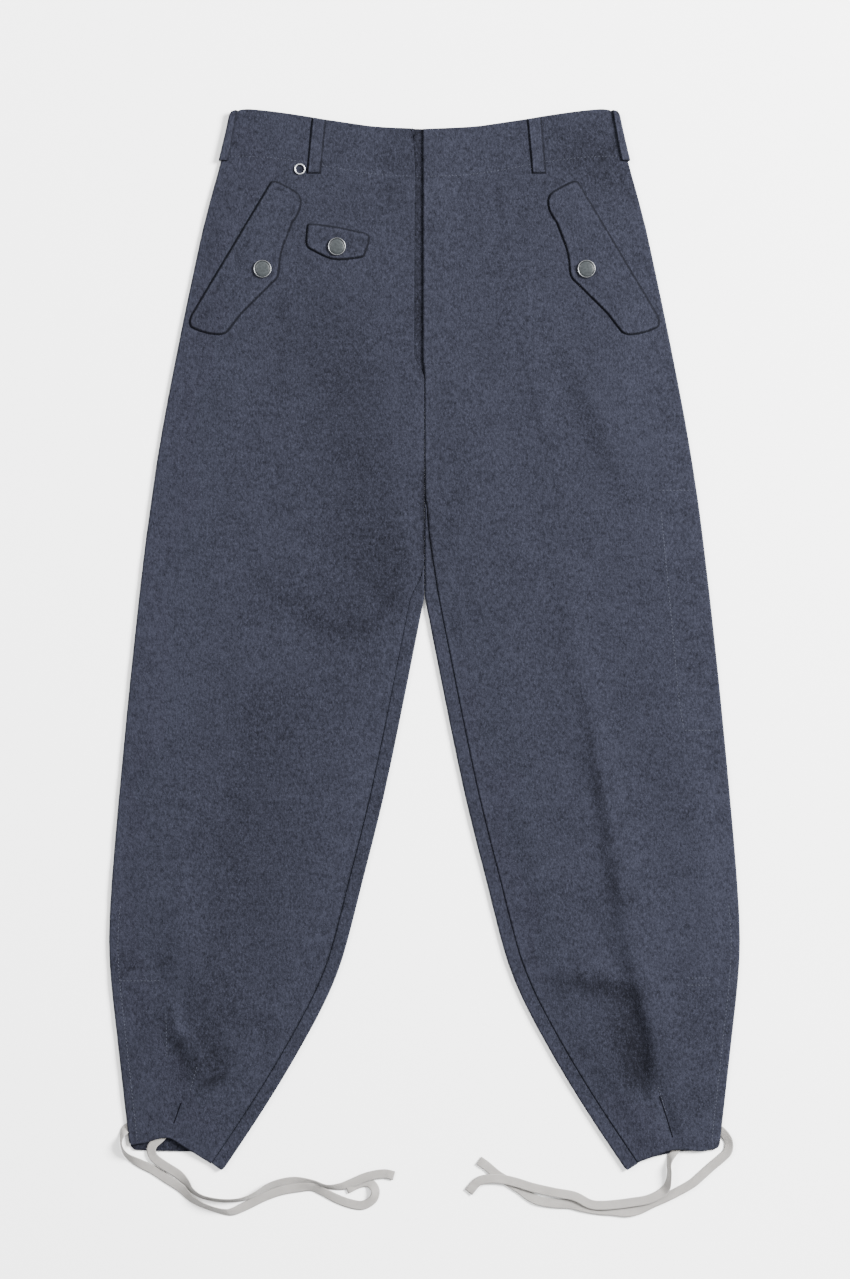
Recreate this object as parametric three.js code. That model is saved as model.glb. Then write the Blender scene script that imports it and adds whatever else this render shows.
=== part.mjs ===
// Paratrooper trousers in heavy wool cloth, laid out flat, front side up.
// Millimetres. +Z is up from the surface, +Y towards the waist, +X towards the wearer's left leg.
// The origin lies on the surface, in the middle of the garment's width and length.
// "down" is a distance below the highest point of the waist, "x" a distance from the centre line.

import * as THREE from "three";
import { mergeVertices } from "three/addons/utils/BufferGeometryUtils.js";

// Cloth and seams
const LENGTH = 1095; // waist to the points of the hems
const WALL = 2; // heavy wool
const GAP = 0.3; // between pieces at a seam and between layers
const EDGE_ROUND = 1.6; // rounding of a wall at the outseam
const FOLD_RADIUS = WALL + GAP / 2; // outside of the fold along the inseam
const SEAM_IN = 14; // the inseam lies this far in from the fold, on the front
const CROTCH = 504;
const TONGUE_TOP = { left: 415, right: 481 }; // where the back panels first show beside the centre seam
const TONGUE_EASE = 6; // length over which the back's edge folds up there

// Waist, fly and hems
const CORNER_RADIUS = 11;
const WAIST_EASE = 120; // the waist's curve dies out over this length
const HEM_EASE = 145;
const HEM_LEVEL = 1075;
const UNDERLAP = { left: 22, right: 16, top: 24, bottom: 276, roundEnd: 12 }; // strip behind the fly

// How far the front stands off the back
const FULLNESS = 2.1;
const MOST_RISE = 3.6;
const LEVEL_OFF = 6; // how sharply a rise levels off at its most
const FRONT_LEVEL = WALL + GAP;
const EASE = { start: 1, outseam: 46, inseam: 40, tongue: 120, tongueEnd: 12 };
const FLY_TENT = { margin: 3, marginBelow: 6, besides: 46, below: 90 }; // over the underlap
const BACK_TENT = { margin: 2, marginBelow: 2, besides: 40, below: 80 }; // over the loop at the back

// Sewn-on pieces
const LOOP = { width: 12.5, wall: 2.2, bow: 0.5, top: 0.5, bottom: 66.4, backBottom: 86.4, softEdge: 0.7 };
const SIDE_LOOP = { wall: 2, top: 1, slant: 5, bottom: 54, topInner: 193.8, bottomInner: 203.6 };
const PULL_IN = { margin: 2, end: 22 }; // below a side loop the panels come back out to the outline
const FLAP_WALL = 3;
const FLAP_GAP = 0.45;
const FLAP_ROUND = 1;
const BRIDGE = 11; // what is sewn on a front bridges hollows narrower than twice this

// Fastenings
const SNAP_RADIUS = 9.15;
const SNAP_HEIGHT = 2.4;
const RING = { x: 128.3, down: 63.1, radius: 4.75, wire: 0.9 };
const TAB = { length: 3, inside: 1.5, thread: 0.8 };

// Ankle tapes
const TAPE = { width: 9.5, thickness: 1.2 };
const TAPE_STEP = 21;

// Half the outline of the garment: the outseam, and the folded edge inside the leg.
const OUTSEAM = [
  { down: 0, x: 200.3 },
  { down: 23, x: 205 },
  { down: 95, x: 222 },
  { down: 177, x: 240 },
  { down: 260, x: 257 },
  { down: 342, x: 272.4 },
  { down: 424, x: 284.8 },
  { down: 548, x: 299.2 },
  { down: 672, x: 311.6 },
  { down: 795, x: 322.4 },
  { down: 857, x: 325.4 },
  { down: 898, x: 323.4 },
  { down: 960, x: 316.7 },
  { down: 1042, x: 307.5 },
  { down: 1085, x: 302.5 },
];
const INSIDE_LEG = [
  { down: CROTCH, x: GAP / 2 },
  { down: 548, x: 8.8 },
  { down: 630, x: 25.2 },
  { down: 713, x: 42.7 },
  { down: 795, x: 63.3 },
  { down: 878, x: 85 },
  { down: 919, x: 101.5 },
  { down: 960, x: 123.1 },
  { down: 1001, x: 146.8 },
  { down: 1042, x: 172.5 },
  { down: 1096, x: 208.6 },
];

// The waist edge dips towards the centre front.
const WAIST_DIP = [
  { x: -20, down: 21.6 },
  { x: 0, down: 21.6 },
  { x: 54, down: 18.5 },
  { x: 91, down: 13.4 },
  { x: 128, down: 7.2 },
  { x: 165, down: 2.1 },
  { x: 190, down: 0 },
  { x: 210, down: 0 },
];

// The hem edges, from the point at the inside of the leg to the outseam.
const HEM = [
  { x: 208.6, frontLeft: 1094.9, frontRight: 1094.9, back: 1094.9 },
  { x: 220, frontLeft: 1086.6, frontRight: 1087.4, back: 1087.6 },
  { x: 237, frontLeft: 1080.6, frontRight: 1074.9, back: 1076.6 },
  { x: 248, frontLeft: 1075.3, frontRight: 1067.6, back: 1075.4 },
  { x: 260, frontLeft: 1073.2, frontRight: 1061.8, back: 1075.3 },
  { x: 271, frontLeft: 1074, frontRight: 1060.6, back: 1075.3 },
  { x: 288, frontLeft: 1075.2, frontRight: 1067, back: 1075.3 },
  { x: 303, frontLeft: 1071.2, frontRight: 1068.2, back: 1073.6 },
];

// The edges of the two fronts along the fly: the left one laps over, the right one shows the underlap.
const FLY_EDGE = [
  { down: 0, left: -1.5, right: 4.4 },
  { down: 90, left: -1.5, right: 10.2 },
  { down: 258, left: -1.5, right: 10.8 },
  { down: 274, left: GAP / 2, right: GAP / 2 },
];

// Soft ridges and hollows of the fronts, each from one end to the other.
const FRONT_FOLDS = [
  { side: "left", x1: 98, down1: 201, x2: 163, down2: 610, height: 0.7, width: 15 },
  { side: "left", x1: 163, down1: 610, x2: 203, down2: 807, height: 1.1, width: 14 },
  { side: "left", x1: 203, down1: 807, x2: 240, down2: 975, height: 1.6, width: 13 },
  { side: "left", x1: 207, down1: 900, x2: 222, down2: 1000, height: -1.5, width: 12 },
  { side: "left", x1: 140, down1: 893, x2: 213, down2: 903, height: 1, width: 13 },
  { side: "left", x1: 242, down1: 1018, x2: 256, down2: 1060, height: -0.6, width: 8 },
  { side: "right", x1: 262, down1: 764, x2: 216, down2: 970, height: 0.8, width: 18 },
  { side: "right", x1: 261, down1: 938, x2: 238, down2: 969, height: 1.1, width: 12 },
  { side: "right", x1: 278, down1: 880, x2: 270, down2: 905, height: -0.9, width: 14 },
  { side: "right", x1: 222, down1: 950, x2: 208, down2: 1000, height: -0.8, width: 13 },
  { side: "right", x1: 30, down1: 480, x2: 110, down2: 560, height: -0.6, width: 22 },
  { side: "right", x1: 60, down1: 560, x2: 150, down2: 690, height: 0.5, width: 24 },
];

// Distances down the garment of the panels' sections.
const SECTIONS = [
  0, 24, 42, 58, 76, 98, 120, 142, 166, 200, 230, 258, 266, 274, 294, 325, 365, 445, CROTCH,
  520, 548, 590, 630, 672, 713, 754, 795, 830, 857, 878, 898, 919, 940, 960, 980, 1001, 1022, 1042,
  1060, HEM_LEVEL,
];

const SIDES = { left: 1, right: -1 };

// The sections of one side, with those where its tongue begins.
const sectionsOf = (side) => {
  const start = TONGUE_TOP[side];
  return [...SECTIONS, start - 2 * TONGUE_EASE, start - TONGUE_EASE, start].sort((a, b) => a - b);
};

const WOOL = { color: 0x474b59, roughness: 0.95, metalness: 0 };
const COTTON = { color: 0xcac7c1, roughness: 0.9, metalness: 0 };
const ENAMEL = { color: 0x686e73, roughness: 0.4, metalness: 0.6 };
const NICKEL = { color: 0xc9cbcc, roughness: 0.25, metalness: 1 };

const { clamp, lerp, smoothstep } = THREE.MathUtils;

const garment = new THREE.Group();

// A smooth curve through the rows of a table, as a function of one column.
function curve(rows, from, to) {
  const slope = rows.map((row, i) => {
    const before = rows[Math.max(i - 1, 0)];
    const after = rows[Math.min(i + 1, rows.length - 1)];
    return (after[to] - before[to]) / (after[from] - before[from]);
  });
  return (at) => {
    let i = rows.findIndex((row) => row[from] > at) - 1;
    if (i === -2) i = rows.length - 2;
    i = Math.max(i, 0);
    const span = rows[i + 1][from] - rows[i][from];
    const t = clamp((at - rows[i][from]) / span, 0, 1);
    return (
      rows[i][to] * (2 * t + 1) * (1 - t) ** 2 +
      slope[i] * span * t * (1 - t) ** 2 +
      rows[i + 1][to] * (3 - 2 * t) * t ** 2 +
      slope[i + 1] * span * t ** 2 * (t - 1)
    );
  };
}

// Straight lines from row to row of a table.
function polyline(rows, from, to) {
  return (at) => {
    let i = rows.findIndex((row) => row[from] > at) - 1;
    if (i === -2) return rows.at(-1)[to];
    i = Math.max(i, 0);
    const share = clamp((at - rows[i][from]) / (rows[i + 1][from] - rows[i][from]), 0, 1);
    return lerp(rows[i][to], rows[i + 1][to], share);
  };
}

const outseamCurve = curve(OUTSEAM, "down", "x");
const insideLegCurve = curve(INSIDE_LEG, "down", "x");
const waistDip = curve(WAIST_DIP, "x", "down");
const hemCurves = {
  frontLeft: curve(HEM, "x", "frontLeft"),
  frontRight: curve(HEM, "x", "frontRight"),
  back: curve(HEM, "x", "back"),
};
const flyEdge = { left: polyline(FLY_EDGE, "down", "left"), right: polyline(FLY_EDGE, "down", "right") };

// The panels draw in a little under the side loops, which lie flush with the outline.
function outseam(down) {
  const room = SIDE_LOOP.wall + GAP;
  const belowLoop = smoothstep(down - SIDE_LOOP.bottom, PULL_IN.margin, PULL_IN.end);
  return outseamCurve(down) - room * (1 - belowLoop);
}

function insideLeg(down) {
  return down > CROTCH ? insideLegCurve(down) : GAP / 2;
}

// Width of the back's strip that shows on the front, from the folded edge to the inseam.
function stripWidth(side, down) {
  const slope = insideLegCurve(Math.max(down, CROTCH) + 1) - insideLegCurve(Math.max(down, CROTCH));
  const shown = clamp((down - TONGUE_TOP[side]) / (CROTCH - TONGUE_TOP[side]), 0, 1);
  return Math.max(FOLD_RADIUS, SEAM_IN * shown * Math.hypot(1, slope));
}

// The inner edge of a front: along the fly, down the centre seam, then down the inseam.
function frontEdge(side, down) {
  const start = TONGUE_TOP[side] - 2 * TONGUE_EASE;
  const beside = insideLeg(down) + stripWidth(side, down) + GAP;
  if (down < start) return flyEdge[side](down);
  return lerp(GAP / 2, beside, clamp((down - start) / TONGUE_EASE, 0, 1));
}

// One over a strip at the centre, from x1 to x2 and down to its bottom, falling softly to nought round it.
function plateau(x, down, strip, tent) {
  const beside = Math.max(strip.x1 - x, x - strip.x2, tent.margin) - tent.margin;
  const below = Math.max(down - strip.bottom, tent.marginBelow) - tent.marginBelow;
  return 1 - smoothstep(Math.hypot(beside / tent.besides, below / tent.below), 0, 1);
}

// The back panels lift over the loop at the centre back, which lies between them and the surface.
function backLift(x, down) {
  const loop = { x1: -LOOP.width / 2, x2: LOOP.width / 2, bottom: LOOP.backBottom };
  return (LOOP.wall + GAP) * plateau(x, down, loop, BACK_TENT);
}

function foldHeight(side, x, down) {
  let sum = 0;
  for (const fold of FRONT_FOLDS) {
    if (fold.side !== side) continue;
    const along = new THREE.Vector2(fold.x2 - fold.x1, fold.down2 - fold.down1);
    const at = new THREE.Vector2(x - fold.x1, down - fold.down1);
    const share = clamp(at.dot(along) / along.lengthSq(), 0, 1);
    const away = at.distanceTo(along.clone().multiplyScalar(share));
    sum += fold.height * Math.exp(-((away / fold.width) ** 2));
  }
  return sum;
}

// Height of a front's underside over its lowest level. x is positive on the piece's own side.
function frontRise(side, x, down) {
  const fromOutseam = outseam(down) - x;
  const fromInseam = x - frontEdge(side, down);
  const toTongue = TONGUE_TOP[side] - down;
  const aboveTongue = smoothstep(toTongue, EASE.tongueEnd, EASE.tongue);
  const offInseam = smoothstep(fromInseam, EASE.start, EASE.inseam);
  const ease = smoothstep(fromOutseam, EASE.start, EASE.outseam) * Math.max(offInseam, aboveTongue);
  const underlap = { x1: -UNDERLAP.right, x2: UNDERLAP.left, bottom: UNDERLAP.bottom };
  const fly = (WALL + 2 * GAP) * plateau(x * SIDES[side], down, underlap, FLY_TENT);
  const raw = Math.max(FULLNESS * ease, fly) + foldHeight(side, x, down) * ease;
  const rise = Math.max(raw, fly);
  return rise / (1 + (rise / MOST_RISE) ** LEVEL_OFF) ** (1 / LEVEL_OFF);
}

// A front's two faces, as heights.
function frontUnder(side, x, down) {
  return FRONT_LEVEL + backLift(x, down) + frontRise(side, x, down);
}
function frontTop(side, x, down) {
  return frontUnder(side, x, down) + WALL;
}

// What is sewn on a front is stiffer than the cloth: it lies on the highest of the front about a point.
function bridged(side, x, down) {
  const around = [[0, 0], [BRIDGE, 0], [-BRIDGE, 0], [0, BRIDGE], [0, -BRIDGE]];
  return Math.max(...around.map(([dx, dy]) => frontTop(side, x + dx, down + dy)));
}

// The waist's edge falls away in a round corner at the outseam.
function waistDrop(x) {
  const inCorner = clamp((x - (outseam(CORNER_RADIUS) - CORNER_RADIUS)) / CORNER_RADIUS, 0, 1);
  return waistDip(x) + CORNER_RADIUS * (1 - Math.sqrt(1 - inCorner ** 2));
}

// Where a column of a panel crosses one of its sections: sections follow the waist and the hem there.
function crossing(column, section, hem) {
  const passes = 12;
  let x = column(section);
  let down = section;
  for (let i = 0; i < passes; i++) {
    const atWaist = clamp(1 - section / WAIST_EASE, 0, 1);
    const atHem = clamp((section - HEM_LEVEL + HEM_EASE) / HEM_EASE, 0, 1) ** 2;
    down = section + waistDrop(x) * atWaist + (hem(x) - HEM_LEVEL) * atHem;
    x = column(down);
  }
  return { x, down };
}

// A closed wall over a grid. point(column, section, face) gives its corners, with face 1 the one that
// looks up where columns run towards the centre and sections run down the left leg.
function wall(columns, sections, point, side) {
  const positions = [];
  for (let face = 0; face < 2; face++)
    for (let s = 0; s < sections; s++)
      for (let c = 0; c < columns; c++) positions.push(...point(c, s, face));
  const at = (c, s, face) => (face * sections + s) * columns + c;
  const triangles = [];
  const quad = (a, b, c, d) => triangles.push([a, b, c], [a, c, d]);
  for (let s = 0; s < sections - 1; s++)
    for (let c = 0; c < columns - 1; c++) {
      quad(at(c, s, 1), at(c + 1, s, 1), at(c + 1, s + 1, 1), at(c, s + 1, 1));
      quad(at(c, s, 0), at(c, s + 1, 0), at(c + 1, s + 1, 0), at(c + 1, s, 0));
    }
  const rim = [];
  for (let c = 0; c < columns - 1; c++) rim.push([c, 0]);
  for (let s = 0; s < sections - 1; s++) rim.push([columns - 1, s]);
  for (let c = columns - 1; c > 0; c--) rim.push([c, sections - 1]);
  for (let s = sections - 1; s > 0; s--) rim.push([0, s]);
  rim.forEach(([c, s], i) => {
    const [nextC, nextS] = rim[(i + 1) % rim.length];
    quad(at(nextC, nextS, 1), at(c, s, 1), at(c, s, 0), at(nextC, nextS, 0));
  });
  return solidGeometry(positions, triangles, SIDES[side] < 0);
}

// A geometry with shared corners merged and faces that have closed up left out.
function solidGeometry(positions, triangles, turned) {
  const raw = new THREE.BufferGeometry();
  raw.setAttribute("position", new THREE.Float32BufferAttribute(positions, 3));
  raw.setIndex(triangles.flatMap(([a, b, c]) => (turned ? [a, c, b] : [a, b, c])));
  const tolerance = 1e-3;
  const merged = mergeVertices(raw, tolerance);
  const index = Array.from(merged.index.array);
  const kept = [];
  for (let i = 0; i < index.length; i += 3) {
    const [a, b, c] = index.slice(i, i + 3);
    if (a !== b && b !== c && c !== a) kept.push(a, b, c);
  }
  merged.setIndex(kept);
  merged.computeVertexNormals();
  return merged;
}

function add(name, geometry, finish, parent = garment) {
  const mesh = new THREE.Mesh(geometry, new THREE.MeshStandardMaterial(finish));
  mesh.name = name;
  parent.add(mesh);
  return mesh;
}

const place = (side, x, down, z) => [SIDES[side] * x, LENGTH / 2 - down, z];

// How much a wall's face draws in at the rounded outseam, a distance in from the edge.
function roundOff(inset) {
  const within = clamp(1 - inset / EDGE_ROUND, 0, 1);
  return EDGE_ROUND * (1 - Math.sqrt(1 - within ** 2));
}

// Columns close to the outseam are set in by lengths, the others by shares of the panel's width.
const EDGE_INSETS = [0, 0.5, EDGE_ROUND];

function makeFront(side) {
  const sections = sectionsOf(side);
  const shares = [0.06, 0.13, 0.21, 0.3, 0.39, 0.48, 0.57, 0.66, 0.75, 0.84, 0.92, 1];
  const columns = [
    ...EDGE_INSETS.map((inset) => (down) => outseam(down) - inset),
    ...shares.map((share) => (down) => lerp(outseam(down), frontEdge(side, down), share)),
  ];
  const hem = hemCurves[side === "left" ? "frontLeft" : "frontRight"];
  const point = (c, s, face) => {
    const { x, down } = crossing(columns[c], sections[s], hem);
    const inset = c < EDGE_INSETS.length ? EDGE_INSETS[c] : EDGE_ROUND;
    const z = face ? frontTop(side, x, down) - roundOff(inset) : frontUnder(side, x, down);
    return place(side, x, down, z);
  };
  add("front_" + side, wall(columns.length, sections.length, point, side), WOOL);
}

// A back lies flat, and below the tongue it folds round the inside of the leg onto the front.
function makeBack(side) {
  const sections = sectionsOf(side);
  const shares = [0.4, 0.76, 0.82, 0.88, 0.94, 1];
  const turns = [0.25, 0.5, 0.75, 1];
  const foldCentre = (down) => insideLeg(down) + FOLD_RADIUS;
  const foldAngle = (down) => {
    const start = TONGUE_TOP[side] - TONGUE_EASE;
    return (Math.PI / 2) * (1 + clamp((down - start) / TONGUE_EASE, 0, 1));
  };
  const flat = [
    ...EDGE_INSETS.map((inset) => (down) => outseam(down) - inset),
    ...shares.map((share) => (down) => lerp(outseam(down), foldCentre(down), share)),
  ];
  const stripEnd = (down) => insideLeg(down) + stripWidth(side, down);
  const columns = flat.length + turns.length + 1;
  const point = (c, s, face) => {
    if (c < flat.length) {
      const { x, down } = crossing(flat[c], sections[s], hemCurves.back);
      const inset = c < EDGE_INSETS.length ? EDGE_INSETS[c] : EDGE_ROUND;
      const z = backLift(x, down) + (face ? WALL : roundOff(inset));
      return place(side, x, down, z);
    }
    if (c < columns - 1) {
      const turn = turns[c - flat.length];
      const radius = face ? GAP / 2 : FOLD_RADIUS;
      const column = (down) => foldCentre(down) - radius * Math.sin(turn * foldAngle(down));
      const { x, down } = crossing(column, sections[s], hemCurves.back);
      const z = FOLD_RADIUS - radius * Math.cos(turn * foldAngle(down));
      return place(side, x, down, backLift(x, down) + z);
    }
    const folded = (down) => foldAngle(down) >= Math.PI;
    const radius = face ? GAP / 2 : FOLD_RADIUS;
    const column = (down) =>
      folded(down) ? stripEnd(down) : foldCentre(down) - radius * Math.sin(foldAngle(down));
    const { x, down } = crossing(column, sections[s], hemCurves.back);
    const z = FOLD_RADIUS - radius * Math.cos(foldAngle(down));
    return place(side, x, down, backLift(x, down) + z);
  };
  add("back_" + side, wall(columns, sections.length, point, side), WOOL);
}

// The underlap is sewn to the right front and lies under both edges of the fly.
function makeFlyUnderlap() {
  const { left, right, roundEnd } = UNDERLAP;
  const columns = [left, 8, 0, -8, -right];
  const steps = 14;
  const point = (c, s, face) => {
    const x = columns[c];
    const fromSide = Math.min(left - x, roundEnd);
    const bottom = UNDERLAP.bottom - roundEnd + Math.sqrt(roundEnd ** 2 - (roundEnd - fromSide) ** 2);
    const top = UNDERLAP.top + waistDip(Math.abs(x)) - waistDip(0);
    const down = lerp(top, bottom, s / (steps - 1));
    return place("left", x, down, FRONT_LEVEL + backLift(x, down) + face * WALL);
  };
  add("fly_underlap", wall(columns.length, steps, point, "left"), WOOL);
}

// A belt loop on a front: a folded strip that lies down the waist, sewn at both ends.
function makeFrontLoop(side, xTop, xBottom) {
  const steps = 9;
  const across = [0.5, 0.42, -0.42, -0.5];
  const point = (c, s, face) => {
    const share = s / (steps - 1);
    const x = lerp(xTop, xBottom, share) + across[c] * LOOP.width;
    const down = lerp(waistDip(x) + LOOP.top, LOOP.bottom, share);
    const bow = LOOP.bow * Math.sin(Math.PI * share);
    const softEdge = Math.abs(across[c]) === 0.5 ? LOOP.softEdge : 0;
    const lift = GAP + bow + face * (LOOP.wall - softEdge);
    return place(side, x, down, bridged(side, x, down) + lift);
  };
  add("loop_front_" + side, wall(across.length, steps, point, side), WOOL);
}

// The loop at the centre back lies under the back panels.
function makeBackLoop() {
  const across = [0.5, -0.5];
  const ends = [waistDip(0) + LOOP.top, LOOP.backBottom];
  const point = (c, s, face) =>
    place("left", across[c] * LOOP.width, ends[s], face * LOOP.wall);
  add("loop_back", wall(across.length, ends.length, point, "left"), WOOL);
}

// A loop over the side seam: it lies on the front and turns down over the edge.
function makeSideLoop(side) {
  const steps = 7;
  const thick = SIDE_LOOP.wall;
  const stack = 2 * WALL + GAP; // the front and the back under it
  // Each column of the loop's section: out from the panel's edge, and up, for its two faces.
  const section = [
    { under: { out: GAP, up: 0 }, over: { out: GAP + thick, up: 0 } },
    { under: { out: GAP, up: 3 }, over: { out: GAP + thick, up: 3.6 } },
    { under: { out: -0.5, up: stack + GAP }, over: { out: 1.3, up: stack + thick - 0.4 } },
    { under: { out: -2, up: stack + GAP }, over: { out: -0.6, up: stack + GAP + thick } },
  ];
  const point = (c, s, face) => {
    const share = s / (steps - 1);
    if (c < section.length) {
      const corner = section[c][face ? "over" : "under"];
      const top = waistDrop(outseam(CORNER_RADIUS)) + SIDE_LOOP.top;
      const down = lerp(c < 2 ? top : top - SIDE_LOOP.slant, SIDE_LOOP.bottom, share);
      return place(side, outseam(down) + corner.out, down, corner.up);
    }
    const x = lerp(SIDE_LOOP.topInner, SIDE_LOOP.bottomInner, share);
    const down = lerp(waistDrop(x) + SIDE_LOOP.top, SIDE_LOOP.bottom, share);
    const z = bridged(side, x, down) + GAP + face * thick;
    return place(side, x, down, z);
  };
  add("loop_side_" + side, wall(section.length + 1, steps, point, side), WOOL);
}

// A flap is cut to an outline and lies on its front, with a softly rounded edge.
function makeFlap(name, side, outline) {
  const curveSteps = 3;
  const corners = outline.getPoints(curveSteps);
  if (corners[0].distanceTo(corners.at(-1)) < GAP) corners.pop();
  if (!THREE.ShapeUtils.isClockWise(corners)) corners.reverse();
  const centre = new THREE.Vector2();
  new THREE.Box2().setFromPoints(corners).getCenter(centre);
  const rings = [0.5, 0.93, 1];
  const positions = [];
  const triangles = [];
  const faceSize = 1 + rings.length * corners.length;
  const corner = (face, ring, i) => face * faceSize + 1 + ring * corners.length + i;
  for (let face = 0; face < 2; face++) {
    const push = (at, drop) => {
      const z = bridged(side, at.x, at.y) + FLAP_GAP + face * (FLAP_WALL - drop);
      positions.push(...place(side, at.x, at.y, z));
    };
    push(centre, 0);
    rings.forEach((share) =>
      corners.forEach((at) => push(centre.clone().lerp(at, share), share === 1 ? FLAP_ROUND : 0)),
    );
  }
  const turn = (a, b, c, face) => triangles.push(face ? [a, b, c] : [a, c, b]);
  corners.forEach((at, i) => {
    const next = (i + 1) % corners.length;
    for (let face = 0; face < 2; face++) {
      turn(corner(face, 0, 0) - 1, corner(face, 0, i), corner(face, 0, next), face);
      for (let ring = 0; ring < rings.length - 1; ring++) {
        turn(corner(face, ring, i), corner(face, ring + 1, i), corner(face, ring + 1, next), face);
        turn(corner(face, ring, i), corner(face, ring + 1, next), corner(face, ring, next), face);
      }
    }
    const last = rings.length - 1;
    triangles.push([corner(1, last, next), corner(1, last, i), corner(0, last, i)]);
    triangles.push([corner(1, last, next), corner(0, last, i), corner(0, last, next)]);
  });
  add(name, solidGeometry(positions, triangles, SIDES[side] < 0), WOOL);
}

// The slanted hip flap, drawn as distances from the centre line and down.
function hipFlapOutline() {
  const shape = new THREE.Shape();
  shape.moveTo(239.3, 212.9);
  shape.lineTo(157.9, 77);
  shape.quadraticCurveTo(156, 74.5, 150, 77.3);
  shape.lineTo(133.8, 86);
  shape.quadraticCurveTo(126, 90.5, 128, 101);
  shape.quadraticCurveTo(129.5, 109, 136.5, 117.7);
  shape.lineTo(146.2, 142.6);
  shape.quadraticCurveTo(149.5, 152, 150.3, 168.8);
  shape.quadraticCurveTo(150.8, 175.5, 157.2, 179.8);
  shape.lineTo(189, 211.6);
  shape.lineTo(202.7, 229.5);
  shape.quadraticCurveTo(205, 232.6, 212, 233);
  shape.quadraticCurveTo(226, 232.5, 240, 225.4);
  shape.quadraticCurveTo(243.5, 220.5, 239.3, 212.9);
  return shape;
}

// The small flap of the fob pocket under the waist.
function fobFlapOutline() {
  const shape = new THREE.Shape();
  shape.moveTo(118.9, 119.8);
  shape.quadraticCurveTo(96, 120.9, 61.7, 129.4);
  shape.quadraticCurveTo(57, 130.8, 57.4, 135);
  shape.quadraticCurveTo(58.5, 142, 62.3, 151);
  shape.quadraticCurveTo(63, 153.3, 66, 153.6);
  shape.lineTo(79.4, 155.3);
  shape.quadraticCurveTo(92, 157.5, 103.1, 152.3);
  shape.lineTo(118.1, 144.5);
  shape.quadraticCurveTo(121.4, 143, 121.6, 137);
  shape.lineTo(120.5, 124.7);
  shape.quadraticCurveTo(120.3, 120, 118.9, 119.8);
  return shape;
}

// A snap's cap: a turned dish with a raised rim, standing square on the flap.
function makeSnap(name, side, x, down) {
  const profile = [
    { radius: 0, up: 0 },
    { radius: SNAP_RADIUS - 0.6, up: 0 },
    { radius: SNAP_RADIUS, up: 0.6 },
    { radius: SNAP_RADIUS, up: SNAP_HEIGHT - 0.7 },
    { radius: SNAP_RADIUS - 0.7, up: SNAP_HEIGHT },
    { radius: SNAP_RADIUS - 1.8, up: SNAP_HEIGHT - 0.2 },
    { radius: SNAP_RADIUS - 2.5, up: SNAP_HEIGHT - 0.7 },
    { radius: 0, up: SNAP_HEIGHT - 0.5 },
  ];
  const points = profile.map((row) => new THREE.Vector2(row.radius, row.up));
  const geometry = new THREE.LatheGeometry(points, 24).rotateX(Math.PI / 2);
  const top = (across, along) => bridged(side, x + across, down + along);
  const reach = SNAP_RADIUS / 2;
  const slopeX = (top(reach, 0) - top(-reach, 0)) / (2 * reach);
  const slopeDown = (top(0, reach) - top(0, -reach)) / (2 * reach);
  const normal = new THREE.Vector3(-slopeX * SIDES[side], slopeDown, 1).normalize();
  const snap = add(name, geometry, ENAMEL);
  snap.position.set(...place(side, x, down, top(0, 0) + FLAP_GAP + FLAP_WALL));
  snap.position.addScaledVector(normal, GAP);
  snap.quaternion.setFromUnitVectors(new THREE.Vector3(0, 0, 1), normal);
}

// The ring lies beside the right front loop and swings in a thread tab.
function makeRing() {
  const height = frontTop("right", RING.x - RING.radius, RING.down) + GAP + RING.wire;
  const ring = add("ring", new THREE.TorusGeometry(RING.radius, RING.wire, 8, 24), NICKEL);
  ring.position.set(...place("right", RING.x, RING.down, height));
  const arch = new THREE.Shape();
  const outside = TAB.inside + TAB.thread;
  arch.moveTo(outside, -RING.wire);
  arch.lineTo(outside, 0);
  arch.absarc(0, 0, outside, 0, Math.PI, false);
  arch.lineTo(-outside, -RING.wire);
  arch.lineTo(-TAB.inside, -RING.wire);
  arch.lineTo(-TAB.inside, 0);
  arch.absarc(0, 0, TAB.inside, Math.PI, 0, true);
  arch.lineTo(TAB.inside, -RING.wire);
  arch.closePath();
  const along = { depth: TAB.length, bevelEnabled: false, curveSegments: 6 };
  const geometry = new THREE.ExtrudeGeometry(arch, along);
  geometry.translate(0, 0, -TAB.length / 2).rotateX(Math.PI / 2);
  const tab = add("ring_tab", geometry, WOOL);
  tab.position.set(...place("right", RING.x - RING.radius, RING.down, height));
}

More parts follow.
